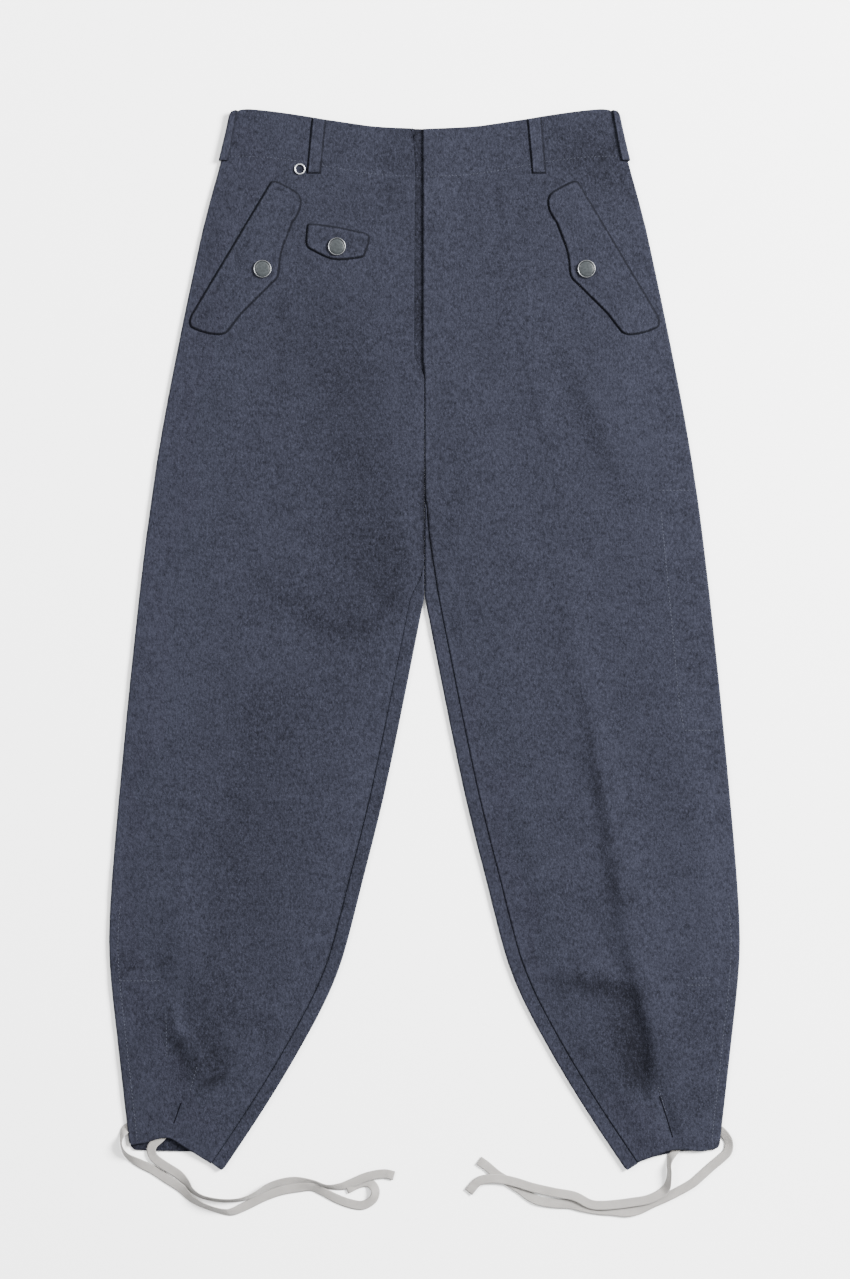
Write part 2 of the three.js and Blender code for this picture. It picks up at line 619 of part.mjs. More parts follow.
// Routes of the four tapes from the hem to their free ends. The heights keep one over the other.
const TAPES = [
  {
    name: "tape_right_a",
    route: [
      [-273.5, -515.8, 2.9], [-281.2, -521.2, 2.9], [-283, -528.5, 3], [-277.5, -536, 2.9],
      [-266, -543.5, 2.5], [-254, -551, 2.3], [-246.5, -559, 2.3], [-240.5, -567, 2.3],
      [-231, -573.5, 2.3], [-218, -577, 2.3], [-204, -578.3, 2.3], [-188.5, -577, 2.3],
      [-174, -571.5, 2.3], [-160, -563.5, 2.3], [-146.5, -559.5, 2.3], [-132.4, -558, 2.3],
      [-116, -560.2, 2.3], [-101, -563.8, 2.3], [-86, -563.8, 2.3], [-74, -560, 2.3],
      [-62.5, -555, 2.3], [-51, -551.9, 2.3], [-40, -551, 1.8], [-31.4, -553, 1],
    ],
  },
  {
    name: "tape_right_b",
    route: [
      [-312, -506, 0.7], [-313.5, -514, 0.7], [-313, -524, 0.7], [-306.5, -533.5, 0.7],
      [-293, -540.5, 0.7], [-280, -547, 0.7], [-265.5, -556.5, 0.7], [-251, -566, 0.7],
      [-239.5, -577, 0.7], [-225, -584.5, 0.7], [-208, -589.5, 0.7], [-197.5, -589.7, 0.7],
      [-183, -583.5, 0.7], [-166.5, -575.3, 0.7], [-149.3, -569, 0.7], [-132.4, -565.8, 0.7],
      [-117, -564.5, 0.7], [-105.5, -569, 0.7], [-92, -576, 0.7], [-77.8, -581.5, 0.7],
      [-64, -583.5, 0.7], [-53.5, -577.5, 0.7], [-50.8, -568, 0.7], [-56.5, -560.5, 0.7],
      [-66, -560.6, 0.7], [-80.5, -567.2, 0.7],
    ],
  },
  {
    name: "tape_left_a",
    route: [
      [257.5, -532.5, 1.8], [254.5, -538, 1.5], [253, -543, 1.4], [252.3, -549, 1.6],
      [251.4, -558, 2.2], [249, -565.5, 2.3], [242.5, -572, 2.3], [230, -577.5, 2.3],
      [215.8, -580, 2.3], [201, -582, 2.3], [184, -583.4, 2.3], [170.5, -582, 2.3],
      [154.5, -574, 2.3], [133.4, -570, 2.3], [110.8, -564.8, 2.3], [93.7, -559.5, 2.3],
      [78.8, -556.3, 2.3], [66.5, -556, 2.3], [56, -558.5, 2.1], [49.6, -564.8, 1.5],
      [45.4, -570.1, 1],
    ],
  },
  {
    name: "tape_left_b",
    route: [
      [312.8, -506.5, 0.7], [315.5, -513, 0.7], [316, -521.5, 0.7], [313, -530, 0.7],
      [305, -537.5, 0.7], [296, -544, 0.7], [287, -551.5, 0.7], [276.5, -560.5, 0.7],
      [262.1, -568.9, 0.7], [247.2, -576.3, 0.7], [234.3, -582, 0.7], [222, -588, 0.7],
      [209.4, -590.7, 0.7], [194.7, -589.5, 0.7], [179.7, -588.6, 0.7], [163.3, -585.6, 0.7],
      [150.5, -582.6, 0.7], [133.4, -581.5, 0.7], [117, -578.5, 0.7], [106.4, -573.2, 0.7],
      [98, -566.8, 0.7], [85, -558.3, 0.7], [74.7, -552, 0.7], [64.4, -543.3, 0.7],
      [56, -537.1, 0.7],
    ],
  },
];

function makeTape({ name, route }) {
  const path = new THREE.CatmullRomCurve3(route.map((at) => new THREE.Vector3(...at)));
  const halfWide = TAPE.width / 2;
  const halfThick = TAPE.thickness / 2;
  const face = 0.85 * halfWide; // flat up to here, then rounded off to the selvedge
  const rim = 0.5 * halfThick;
  const section = new THREE.Shape(
    [
      [halfThick, face], [halfThick, -face], [rim, -halfWide], [-rim, -halfWide],
      [-halfThick, -face], [-halfThick, face], [-rim, halfWide], [rim, halfWide],
    ].map(([up, across]) => new THREE.Vector2(up, across)),
  );
  const steps = Math.round(path.getLength() / TAPE_STEP);
  add(name, new THREE.ExtrudeGeometry(section, { steps, extrudePath: path }), COTTON);
}

for (const side of ["left", "right"]) {
  makeFront(side);
  makeBack(side);
  makeSideLoop(side);
}
makeFlyUnderlap();
makeFrontLoop("left", 113, 117.9);
makeFrontLoop("right", 108.8, 114);
makeBackLoop();
makeFlap("flap_hip_left", "left", hipFlapOutline());
makeFlap("flap_hip_right", "right", hipFlapOutline());
makeFlap("flap_fob", "right", fobFlapOutline());
makeSnap("snap_hip_left", "left", 166.8, 166);
makeSnap("snap_hip_right", "right", 166.8, 166);
makeSnap("snap_fob", "right", 90.2, 142.9);
makeRing();
TAPES.forEach(makeTape);

export default garment;
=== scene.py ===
"""Paratrooper trousers in grey-blue wool, laid flat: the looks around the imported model."""

import math

import bmesh
import bpy
import numpy as np
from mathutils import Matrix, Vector
from mathutils.bvhtree import BVHTree


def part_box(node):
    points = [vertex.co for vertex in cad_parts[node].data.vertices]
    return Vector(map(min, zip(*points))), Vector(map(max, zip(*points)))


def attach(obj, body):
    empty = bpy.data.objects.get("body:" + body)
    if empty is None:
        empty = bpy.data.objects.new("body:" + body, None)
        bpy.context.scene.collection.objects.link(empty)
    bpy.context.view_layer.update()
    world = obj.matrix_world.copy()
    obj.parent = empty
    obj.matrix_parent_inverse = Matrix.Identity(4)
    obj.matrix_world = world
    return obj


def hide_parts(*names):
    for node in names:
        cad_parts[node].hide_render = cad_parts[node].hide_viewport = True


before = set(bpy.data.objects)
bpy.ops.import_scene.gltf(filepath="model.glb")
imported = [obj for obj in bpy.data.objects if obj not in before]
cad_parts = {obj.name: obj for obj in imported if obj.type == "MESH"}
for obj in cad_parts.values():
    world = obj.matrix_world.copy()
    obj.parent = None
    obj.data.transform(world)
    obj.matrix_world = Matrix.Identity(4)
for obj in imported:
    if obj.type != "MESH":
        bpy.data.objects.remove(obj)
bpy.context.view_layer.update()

# ---------------------------------------------------------------- camera
# It hangs over the middle of the garment and looks straight down, with the waist at the top.

LENS = 0.1
SENSOR = 0.036
FRAME_HEIGHT = 1.3174  # length seen at the level of the cloth
CLOTH_LEVEL = 0.006

camera_data = bpy.data.cameras.new("camera")
camera_data.lens = LENS * 1000
camera_data.sensor_width = SENSOR * 1000
camera_data.sensor_fit = "AUTO"
camera = bpy.data.objects.new("camera", camera_data)
camera.location = (0.0005, 0, CLOTH_LEVEL + FRAME_HEIGHT * LENS / SENSOR)
bpy.context.scene.collection.objects.link(camera)
bpy.context.scene.camera = camera

# ---------------------------------------------------------------- ankle tapes
# Four flat cotton tapes leave the hems, two at each leg. They are limp, turn on edge in places, and
# lie over one another. Each free end is folded back and stitched across.

TAPE_WIDTH = 0.0095
TAPE_WALL = 0.0007
TAPE_STEP = 0.0015
TAPE_ACROSS = 9
WEAVE_PITCH = 0.00115
FOLDED_END = 0.008
FOLD_RISE = 0.001  # length over which the folded end steps up
TABLE_GAP = 0.0002  # a tape lies no closer to the table

# The points of each tape from the hem on: x, y, height, and its turn in degrees, ninety being on edge.
TAPES = {
    "tape_right_a": [
        (-0.2655, -0.5065, 0.0027, 6), (-0.2725, -0.5138, 0.0028, 8), (-0.2795, -0.5203, 0.003, 10),
        (-0.2817, -0.5275, 0.003, 12), (-0.2778, -0.5352, 0.0029, 8), (-0.2672, -0.543, 0.0025, 4),
        (-0.2545, -0.551, 0.0023, 10), (-0.2465, -0.559, 0.0023, 30), (-0.2405, -0.567, 0.0023, 52),
        (-0.231, -0.5735, 0.0023, 60), (-0.218, -0.577, 0.0023, 62), (-0.204, -0.5783, 0.0023, 63),
        (-0.1885, -0.577, 0.0023, 62), (-0.174, -0.5715, 0.0023, 56), (-0.16, -0.5635, 0.0023, 40),
        (-0.1465, -0.5595, 0.0023, 28), (-0.1324, -0.558, 0.0023, 26), (-0.116, -0.5602, 0.0023, 38),
        (-0.101, -0.5638, 0.0023, 58), (-0.086, -0.5638, 0.0023, 34), (-0.074, -0.56, 0.0023, 12),
        (-0.0625, -0.555, 0.0023, 8), (-0.051, -0.5519, 0.0023, 6), (-0.04, -0.551, 0.0018, 4),
        (-0.0314, -0.553, 0.001, 2),
    ],
    "tape_right_b": [
        (-0.3045, -0.5025, 0.0022, 0), (-0.3088, -0.5057, 0.0012, 22), (-0.3122, -0.5125, 0.0007, 66),
        (-0.3122, -0.522, 0.0007, 74), (-0.3065, -0.532, 0.0007, 52), (-0.293, -0.5405, 0.0007, 16),
        (-0.28, -0.547, 0.0007, 4), (-0.2655, -0.5565, 0.0007, 4), (-0.251, -0.566, 0.0007, 14),
        (-0.2395, -0.577, 0.0007, 40), (-0.225, -0.5845, 0.0007, 52), (-0.208, -0.5895, 0.0007, 48),
        (-0.1975, -0.5897, 0.0007, 30), (-0.183, -0.5835, 0.0007, 8), (-0.1665, -0.5753, 0.0007, 4),
        (-0.1493, -0.569, 0.0007, 4), (-0.1324, -0.5658, 0.0007, 6), (-0.117, -0.5645, 0.0007, 26),
        (-0.1055, -0.569, 0.0007, 22), (-0.092, -0.576, 0.0007, 10), (-0.0778, -0.5815, 0.0007, 4),
        (-0.064, -0.5835, 0.0007, 4), (-0.0535, -0.5775, 0.0007, 16), (-0.0508, -0.568, 0.0007, 24),
        (-0.0565, -0.5605, 0.0007, 6), (-0.066, -0.5606, 0.0007, 2), (-0.0805, -0.5672, 0.0007, 2),
    ],
    "tape_left_a": [
        (0.2655, -0.5165, 0.0022, 4), (0.2605, -0.5235, 0.0021, 8), (0.2557, -0.5297, 0.0018, 30),
        (0.2528, -0.5358, 0.0015, 56), (0.2518, -0.542, 0.0014, 66), (0.2523, -0.549, 0.0016, 66),
        (0.2514, -0.558, 0.0022, 58), (0.249, -0.5655, 0.0023, 34), (0.2425, -0.572, 0.0023, 10),
        (0.23, -0.5775, 0.0023, 4), (0.2158, -0.58, 0.0023, 4), (0.201, -0.582, 0.0023, 6),
        (0.184, -0.5834, 0.0023, 8), (0.1705, -0.582, 0.0023, 6), (0.1545, -0.574, 0.0023, 10),
        (0.1334, -0.57, 0.0023, 6), (0.1108, -0.5648, 0.0023, 4), (0.0937, -0.5595, 0.0023, 6),
        (0.0788, -0.5563, 0.0023, 8), (0.0665, -0.556, 0.0023, 4), (0.056, -0.5585, 0.0021, 4),
        (0.0496, -0.5648, 0.0015, 2), (0.0454, -0.5701, 0.001, 2),
    ],
    "tape_left_b": [
        (0.3015, -0.504, 0.0022, 0), (0.3075, -0.5085, 0.0012, 14), (0.3125, -0.515, 0.0007, 24),
        (0.3138, -0.522, 0.0007, 16), (0.312, -0.529, 0.0007, 12), (0.3055, -0.5355, 0.0007, 8),
        (0.2965, -0.543, 0.0007, 6), (0.287, -0.5515, 0.0007, 8), (0.2765, -0.5605, 0.0007, 14),
        (0.2621, -0.5689, 0.0007, 10), (0.2472, -0.5763, 0.0007, 6), (0.2343, -0.582, 0.0007, 4),
        (0.222, -0.588, 0.0007, 4), (0.2094, -0.5907, 0.0007, 8), (0.1947, -0.5895, 0.0007, 6),
        (0.1797, -0.5886, 0.0007, 4), (0.1633, -0.5856, 0.0007, 6), (0.1505, -0.5826, 0.0007, 4),
        (0.1334, -0.5815, 0.0007, 6), (0.117, -0.5785, 0.0007, 8), (0.1064, -0.5732, 0.0007, 4),
        (0.098, -0.5668, 0.0007, 4), (0.085, -0.5583, 0.0007, 6), (0.0747, -0.552, 0.0007, 4),
        (0.0644, -0.5433, 0.0007, 4), (0.056, -0.5371, 0.0007, 2),
    ],
}


def smooth_path(points, step):
    """Points every step along a smooth line through the given ones, with any further columns."""
    points = np.array(points, float)
    padded = np.vstack([2 * points[0] - points[1], points, 2 * points[-1] - points[-2]])
    fine = []
    for i in range(len(points) - 1):
        a, b, c, d = padded[i : i + 4]
        for t in np.linspace(0, 1, 24, endpoint=False):
            blend = (2 * b + (c - a) * t + (2 * a - 5 * b + 4 * c - d) * t**2) / 2
            fine.append(blend + (3 * b - a - 3 * c + d) * t**3 / 2)
    fine = np.array(fine + [points[-1]])
    run = np.r_[0, np.cumsum(np.linalg.norm(np.diff(fine[:, :3], axis=0), axis=1))]
    at = np.linspace(0, run[-1], max(2, round(run[-1] / step) + 1))
    return np.stack([np.interp(at, run, column) for column in fine.T], axis=1), run[-1]


def cloth_grid(name, points, turned=False, bare=None, marks=None):
    """A cloth surface from an array of points, rows by columns. It faces the side from which the columns
    run to the left when the rows run down, or with turned the other side.

    bare is true at the points to leave out, and marks are further values of each point, by name.
    """
    rows, columns = points.shape[:2]
    grid = bmesh.new()
    bmesh.ops.create_grid(grid, x_segments=columns - 1, y_segments=rows - 1, size=0.5)
    layers = {key: grid.verts.layers.float.new(key) for key in marks or {}}
    left_out = []
    for vertex in grid.verts:
        column = round((vertex.co.x + 0.5) * (columns - 1))
        row = round((0.5 - vertex.co.y) * (rows - 1))
        vertex.co = points[row, column]
        for key, layer in layers.items():
            vertex[layer] = marks[key][row, column]
        if bare is not None and bare[row, column]:
            left_out.append(vertex)
    bmesh.ops.delete(grid, geom=left_out, context="VERTS")
    if not turned:
        bmesh.ops.reverse_faces(grid, faces=grid.faces)
    return finished(name, grid)


def finished(name, mesh, smooth=True):
    """An object from a bmesh, linked to the scene."""
    data = bpy.data.meshes.new(name)
    mesh.to_mesh(data)
    mesh.free()
    if smooth:
        data.shade_smooth()
    piece = bpy.data.objects.new(name, data)
    bpy.context.scene.collection.objects.link(piece)
    return piece


def surface_of(piece):
    """A piece's faces before its modifiers, for rays to meet."""
    polygons = [polygon.vertices[:] for polygon in piece.data.polygons]
    return BVHTree.FromPolygons([vertex.co[:] for vertex in piece.data.vertices], polygons)


def thicken(piece, wall, offset=-1):
    """Gives a surface its wall. With offset -1 it lies behind the face, with 0 about it."""
    solid = piece.modifiers.new("wall", "SOLIDIFY")
    solid.thickness = wall
    solid.offset = offset


def settle(piece, nodes, material, body="trousers"):
    """Gives a finished piece its material and ties it to the model. nodes is empty on what is added."""
    piece.data.materials.append(material)
    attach(piece, body)
    if nodes:
        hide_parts(*nodes)
    return piece


class Wire:
    """The output of a shader node. Arithmetic on wires adds Math nodes."""

    def __init__(self, tree, output=None):
        self.tree = tree
        self.output = output

    def node(self, kind, inputs=None, output=0, **settings):
        """Adds any other node: its settings, its inputs by name or number, and which output to give."""
        new = self.tree.nodes.new(kind)
        for key, value in settings.items():
            setattr(new, key, value)
        for key, value in (inputs or {}).items():
            if isinstance(value, Wire):
                self.tree.links.new(value.output, new.inputs[key])
            else:
                new.inputs[key].default_value = value
        return Wire(self.tree, new.outputs[output])

    def maths(self, operation, *others):
        return self.node("ShaderNodeMath", dict(enumerate((self, *others))), operation=operation)

    def __add__(self, other):
        return self.maths("ADD", other)

    def __sub__(self, other):
        return self.maths("SUBTRACT", other)

    def __mul__(self, other):
        return self.maths("MULTIPLY", other)

    def between(self, low, high):
        """Nought below low, one above high, smooth between."""
        ends = {"From Min": low, "From Max": high}
        return self.node("ShaderNodeMapRange", {0: self, **ends}, interpolation_type="SMOOTHSTEP")


def new_material(name, **constants):
    """A material with a Principled surface, and a wire to build its colour and relief from."""
    material = bpy.data.materials.new(name)
    material.use_nodes = True
    surface = material.node_tree.nodes["Principled BSDF"]
    for key, value in constants.items():
        surface.inputs[key.replace("_", " ")].default_value = value
    return material, surface, Wire(material.node_tree)


def plug(wire, surface, socket):
    wire.tree.links.new(wire.output, surface.inputs[socket])


def tinted(wire, low, high):
    """The colour between two colours, by a wire from nought to one."""
    inputs = {0: wire, 6: (*low, 1), 7: (*high, 1)}
    return wire.node("ShaderNodeMix", inputs, output=2, data_type="RGBA")


def place_on(start):
    """The place on the piece, in its own coordinates."""
    return start.node("ShaderNodeTexCoord", output=3)


def mark_on(start, name):
    """The value of that name that each point of the piece carries."""
    return start.node("ShaderNodeAttribute", output=2, attribute_name=name)


def noise(place, scale, detail, rough=0.5):
    inputs = {"Vector": place, "Scale": scale, "Detail": detail, "Roughness": rough}
    return place.node("ShaderNodeTexNoise", inputs)


def relief(height, surface, distance, strength=1.0):
    inputs = {"Height": height, "Distance": distance, "Strength": strength}
    plug(height.node("ShaderNodeBump", inputs), surface, "Normal")


def cotton_material():
    """Unbleached cotton tape in a herringbone weave, with a bound edge."""
    material, surface, start = new_material(
        "cotton_tape", Roughness=0.88, Sheen_Weight=0.25, Specular_IOR_Level=0.25
    )
    aside = mark_on(start, "across").maths("ABSOLUTE")
    place = place_on(start)
    chevron = (mark_on(start, "along") + aside) * (2 * math.pi / WEAVE_PITCH)
    weave = chevron.maths("SINE") * 0.5 + 0.5
    fibre, cloud = noise(place, 1500, 2), noise(place, 90, 3)
    edge = aside.between(TAPE_WIDTH * 0.4, TAPE_WIDTH * 0.5)
    tone = weave * 0.22 + fibre * 0.3 + cloud * 0.62 - edge * 0.22 - 0.05
    colour = tinted(tone.maths("MAXIMUM", 0), (0.150, 0.142, 0.133), (0.235, 0.224, 0.212))
    plug(colour, surface, "Base Color")
    relief(weave * 0.7 + fibre * 0.5 - edge * 0.5, surface, 0.00035)
    return material


COTTON = cotton_material()


def make_tape(name, route):
    path, length = smooth_path(route, TAPE_STEP)
    centre = path[:, :3].copy()
    angle = np.radians(path[:, 3])
    standing = TAPE_WIDTH / 2 * np.sin(angle) + TAPE_WALL / 2
    centre[:, 2] = np.maximum(centre[:, 2], standing + TABLE_GAP)
    ahead = np.gradient(centre, axis=0)
    ahead[:, 2] = 0
    ahead /= np.linalg.norm(ahead, axis=1, keepdims=True)
    beside = np.stack([-ahead[:, 1], ahead[:, 0], np.zeros(len(ahead))], axis=1)
    widthwise = beside * np.cos(angle)[:, None] + np.array([0, 0, 1]) * np.sin(angle)[:, None]
    share = np.linspace(-0.5, 0.5, TAPE_ACROSS) * TAPE_WIDTH
    points = centre[:, None, :] + widthwise[:, None, :] * share[None, :, None]
    along = np.linspace(0, length, len(centre))
    fold = np.clip((along - (length - FOLDED_END)) / FOLD_RISE, 0, 1)
    points[:, :, 2] += fold[:, None] * TAPE_WALL * 0.8
    across, along = np.meshgrid(share, along)
    piece = cloth_grid("cotton_" + name, points, marks={"along": along, "across": across})
    thicken(piece, TAPE_WALL, offset=0)
    return settle(piece, [name], COTTON), centre, length


TAPE_PIECES = {}
for tape_name, tape_route in TAPES.items():
    tape_piece, tape_centre, tape_length = make_tape(tape_name, tape_route)
    TAPE_PIECES[tape_name] = (tape_piece, tape_centre)

# ---------------------------------------------------------------- floor and light
# A white table, a large soft light from the right, and a weaker one from the left.

FLOOR_SIZE = 5.0

floor_mesh = bmesh.new()
bmesh.ops.create_grid(floor_mesh, x_segments=1, y_segments=1, size=FLOOR_SIZE / 2)
floor = finished("floor", floor_mesh, smooth=False)
floor.location.z = -0.0002
floor.data.materials.append(new_material("floor", Roughness=0.9, Base_Color=(0.9, 0.9, 0.9, 1))[0])


def soft_light(name, place, aim, size, power):
    data = bpy.data.lights.new(name, "AREA")
    data.shape = "SQUARE"
    data.size = size
    data.energy = power
    light = bpy.data.objects.new(name, data)
    light.location = place
    light.rotation_euler = (Vector(aim) - Vector(place)).to_track_quat("-Z", "Y").to_euler()
    bpy.context.scene.collection.objects.link(light)


soft_light("key", (4.1, 1.9, 3.2), (0, 0, 0), 1.9, 2100)
soft_light("fill", (-3.6, 2.4, 4.2), (0, 0, 0), 2.4, 420)
world = bpy.data.worlds.new("studio")
world.use_nodes = True
background = world.node_tree.nodes["Background"]
background.inputs["Color"].default_value = (1, 1, 1, 1)
background.inputs["Strength"].default_value = 1.1
bpy.context.scene.world = world

# ---------------------------------------------------------------- wool cloth
# Heavy wool serge, napped: blue-grey and near-black fibres in flecks drawn out down the cloth, a few pale
# ones among them, and a soft low nap. Painted shade darkens the seams, folds, edges and inner faces, and
# painted light brightens seam edges, loops and fold ridges.


def wool_material():
    material, surface, start = new_material(
        "wool", Roughness=0.95, Sheen_Weight=0.03, Sheen_Roughness=0.5, Sheen_Tint=(0.6, 0.7, 1, 1),
        Specular_IOR_Level=0.05,
    )
    place = place_on(start)
    grain = start.node("ShaderNodeMapping", {"Vector": place, "Scale": (1, 0.6, 1)})
    fleck = noise(grain, 480, 2, 0.6) - 0.5
    thread = noise(grain, 1300, 1) - 0.5
    mottle = noise(place, 150, 3, 0.6) - 0.5
    patch = noise(place, 52, 3) - 0.5
    cloud = noise(place, 17, 2) - 0.5
    pale = (noise(grain, 820, 0) - 0.5).between(0.13, 0.27)
    tone = fleck * 1.1 + thread * 0.7 + mottle * 0.6 + patch * 0.25 + cloud * 0.15 + pale * 0.35
    # the two marks paint shade darker and light brighter into the colour, along seams, folds and edges
    tone = tone + mark_on(start, "painted_light") * 0.2 - mark_on(start, "painted_shade") * 0.45 + 0.5
    colour = tinted(tone.between(-0.15, 1.15), (0.0027, 0.0028, 0.0044), (0.0178, 0.0190, 0.0284))
    plug(colour, surface, "Base Color")
    relief(fleck * 0.9 + thread * 0.6 + mottle * 0.8, surface, 0.0009, 0.6)
    return material


WOOL = wool_material()
WOOL_WALL = 0.0017

# ---------------------------------------------------------------- fronts
# One panel a leg, from the waist to the hem, with an old pressed crease that has slipped, drag lines
# at the crotch, and hollows behind the knee and over the ankle. The edges roll under.

SIDES = {"left": 1, "right": -1}
TOP_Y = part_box("front_left")[1].y
WAIST_IN = 0.52  # the straight inner edge ends here, and the hem's round corner at the outseam here
HEM_IN = -0.515
WAIST_EASE = 0.12  # the rows follow the waist's curve at it and level out over this, and so at the hem
HEM_EASE = 0.145
HEM_LEVEL = 1.075  # how far the level hem would lie below the waist
HEM_CORNER = 0.0055  # radius of the hem's corner at the outseam, and below at the inseam
HEM_TIP = 0.003
ROLL = {"outseam": 0.0021, "seam": 0.0013, "waist": 0.0019, "hem": 0.0016}
CLOSE_STEPS = np.array([0, 0.00025, 0.0006, 0.0011, 0.0017, 0.0026])
FRONT_STEP = 0.0028
PANEL_WIDTH = 0.24
EDGE_FLAT = 0.03  # the creases fade out over this length to an edge, and below to the waist
WAIST_FLAT = 0.06
FRONT_LOWEST = 0.0022
WAIST_CORNER_IN = 0.02  # the outseam is followed up to here below the waist, then runs on straight
HEM_END = 0.298  # the hem is followed out to here
TIP_IN = 0.006  # the inner edge is followed down to here above the hem's tip
BARELY = 1e-4
ROUNDS = 12  # of what settles little by little


class Plan:
    """A CAD node seen from above: how far it reaches across and along, and how high it lies."""

    def __init__(self, name, side=1, step=0.002):
        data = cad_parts[name].data
        corners = np.array([vertex.co for vertex in data.vertices]) * (side, 1, 1)
        ends = np.array([edge.vertices[:] for edge in data.edges])
        self.side = side
        self.low, self.high = corners.min(0), corners.max(0)
        self.starts, self.stops = corners[ends[:, 0]], corners[ends[:, 1]]
        self.y = np.arange(self.low[1] + BARELY, self.high[1], step)
        self.x = np.arange(self.low[0] + BARELY, self.high[0], step)
        self.inner, self.outer = self.reach(1, 0, self.y)
        self.bottom, self.top = self.reach(0, 1, self.x)
        polygons = [polygon.vertices[:] for polygon in data.polygons]
        self.tree = BVHTree.FromPolygons([vertex.co[:] for vertex in data.vertices], polygons)

    def reach(self, fixed, free, places):
        """Lowest and highest value of one coordinate where the other has each of the given values."""
        lows, highs = [], []
        for place in places:
            crossed = (self.starts[:, fixed] - place) * (self.stops[:, fixed] - place) < 0
            a, b = self.starts[crossed], self.stops[crossed]
            share = (place - a[:, fixed]) / (b[:, fixed] - a[:, fixed])
            value = a[:, free] + share * (b[:, free] - a[:, free])
            lows.append(value.min())
            highs.append(value.max())
        return np.array(lows), np.array(highs)

    def height(self, step=0.004, blur=3, below=False):
        """The node's top, or its underside, smoothed: a function of x and y, x on its own side."""
        xs = np.arange(self.low[0] - 3 * step, self.high[0] + 4 * step, step)
        ys = np.arange(self.low[1] - 3 * step, self.high[1] + 4 * step, step)
        depth, weight = np.zeros((len(ys), len(xs))), np.zeros((len(ys), len(xs)))
        from_z, towards = (-1, 1) if below else (1, -1)
        for j, y in enumerate(ys):
            for i, x in enumerate(xs):
                hit = self.tree.ray_cast((x * self.side, y, from_z), (0, 0, towards))[0]
                if hit is not None:
                    depth[j, i], weight[j, i] = hit.z, 1
        for _ in range(blur):
            depth, weight = soften(depth), soften(weight)
        thin = 1e-3  # where the node has less weight than this, the height comes from the places beside it
        for _ in range(ROUNDS):
            bare = weight < thin
            near = soften(np.where(bare, 0, depth / np.maximum(weight, thin)))
            share = soften((~bare).astype(float))
            filled = bare & (share > 0.05)
            depth = np.where(filled, near / np.maximum(share, 0.05), depth)
            weight = np.where(filled, 1, weight)
        level = depth / np.maximum(weight, thin)

        def at(x, y):
            i = np.clip((x - xs[0]) / step, 0, len(xs) - 1.001)
            j = np.clip((y - ys[0]) / step, 0, len(ys) - 1.001)
            i0, j0 = i.astype(int), j.astype(int)
            u, v = i - i0, j - j0
            upper = level[j0, i0] * (1 - u) + level[j0, i0 + 1] * u
            lower = level[j0 + 1, i0] * (1 - u) + level[j0 + 1, i0 + 1] * u
            return upper * (1 - v) + lower * v

        return at


def soften(values):
    """One pass of a small blur, across and along."""
    padded = np.pad(values, 1)
    values = (padded[:-2] + 2 * padded[1:-1] + padded[2:])[:, 1:-1] / 4
    padded = np.pad(values, 1)
    return (padded[:, :-2] + 2 * padded[:, 1:-1] + padded[:, 2:])[1:-1] / 4


def along_line(places, values, first, last):
    """A function that follows a table between first and last and runs on straight past them."""
    kept = (places >= first) & (places <= last)
    known, value = places[kept], values[kept]
    value = np.convolve(np.pad(value, 3, mode="reflect", reflect_type="odd"), np.ones(7) / 7, "valid")
    ends = 12
    low_slope = (value[ends] - value[0]) / (known[ends] - known[0])
    high_slope = (value[-1] - value[-1 - ends]) / (known[-1] - known[-1 - ends])

    def at(place):
        inside = np.interp(place, known, value)
        under = np.minimum(place - known[0], 0) * low_slope
        over = np.maximum(place - known[-1], 0) * high_slope
        return inside + under + over

    return at


def steps_between(length, step, close=CLOSE_STEPS):
    """Shares of a length and offsets from them: close together at both ends, even in between."""
    count = max(2, round((length - 2 * close[-1]) / step))
    even = np.linspace(0, 1, count + 1)[1:-1]
    shares = np.r_[np.zeros(len(close)), even, np.ones(len(close))]
    offsets = np.r_[close, close[-1] * (1 - 2 * even), -close[::-1]]
    return shares, offsets


def hump(distance, width):
    """One at nought, fading away on both sides."""
    return np.exp(-((distance / width) ** 2))


def rolled(inset, radius):
    """How far a surface has dropped at a distance in from an edge that rolls under."""
    within = np.clip(1 - inset / radius, 0, 1)
    return radius * (1 - np.sqrt(1 - within**2))


def seam_drop(side, inset, y):
    """How far a panel has dropped at a distance in from its edge along the fly and the inseam."""
    return rolled(inset, ROLL["seam"]) * np.interp(TOP_Y - y, *SEAM_ROLL[side])


def inner_edge(plan):
    """The edge of a body panel towards the centre, which runs on straight up through the waist."""
    line = along_line(plan.y, plan.inner, plan.low[1] + TIP_IN, WAIST_IN)

    def at(y):
        return line(np.minimum(y, WAIST_IN))

    return at


def corner_rounded(x, y, radius, to_hem, to_side, way):
    """Moves points near a corner of the hem onto a round of that radius. way is 1 at the inner side."""
    up = np.clip(1 - to_hem / radius, 0, 1)
    out = np.clip(1 - to_side / radius, 0, 1)
    x = x + way * radius * out * (1 - np.sqrt(1 - up**2 / 2))
    return x, y + radius * up * (1 - np.sqrt(1 - out**2 / 2))


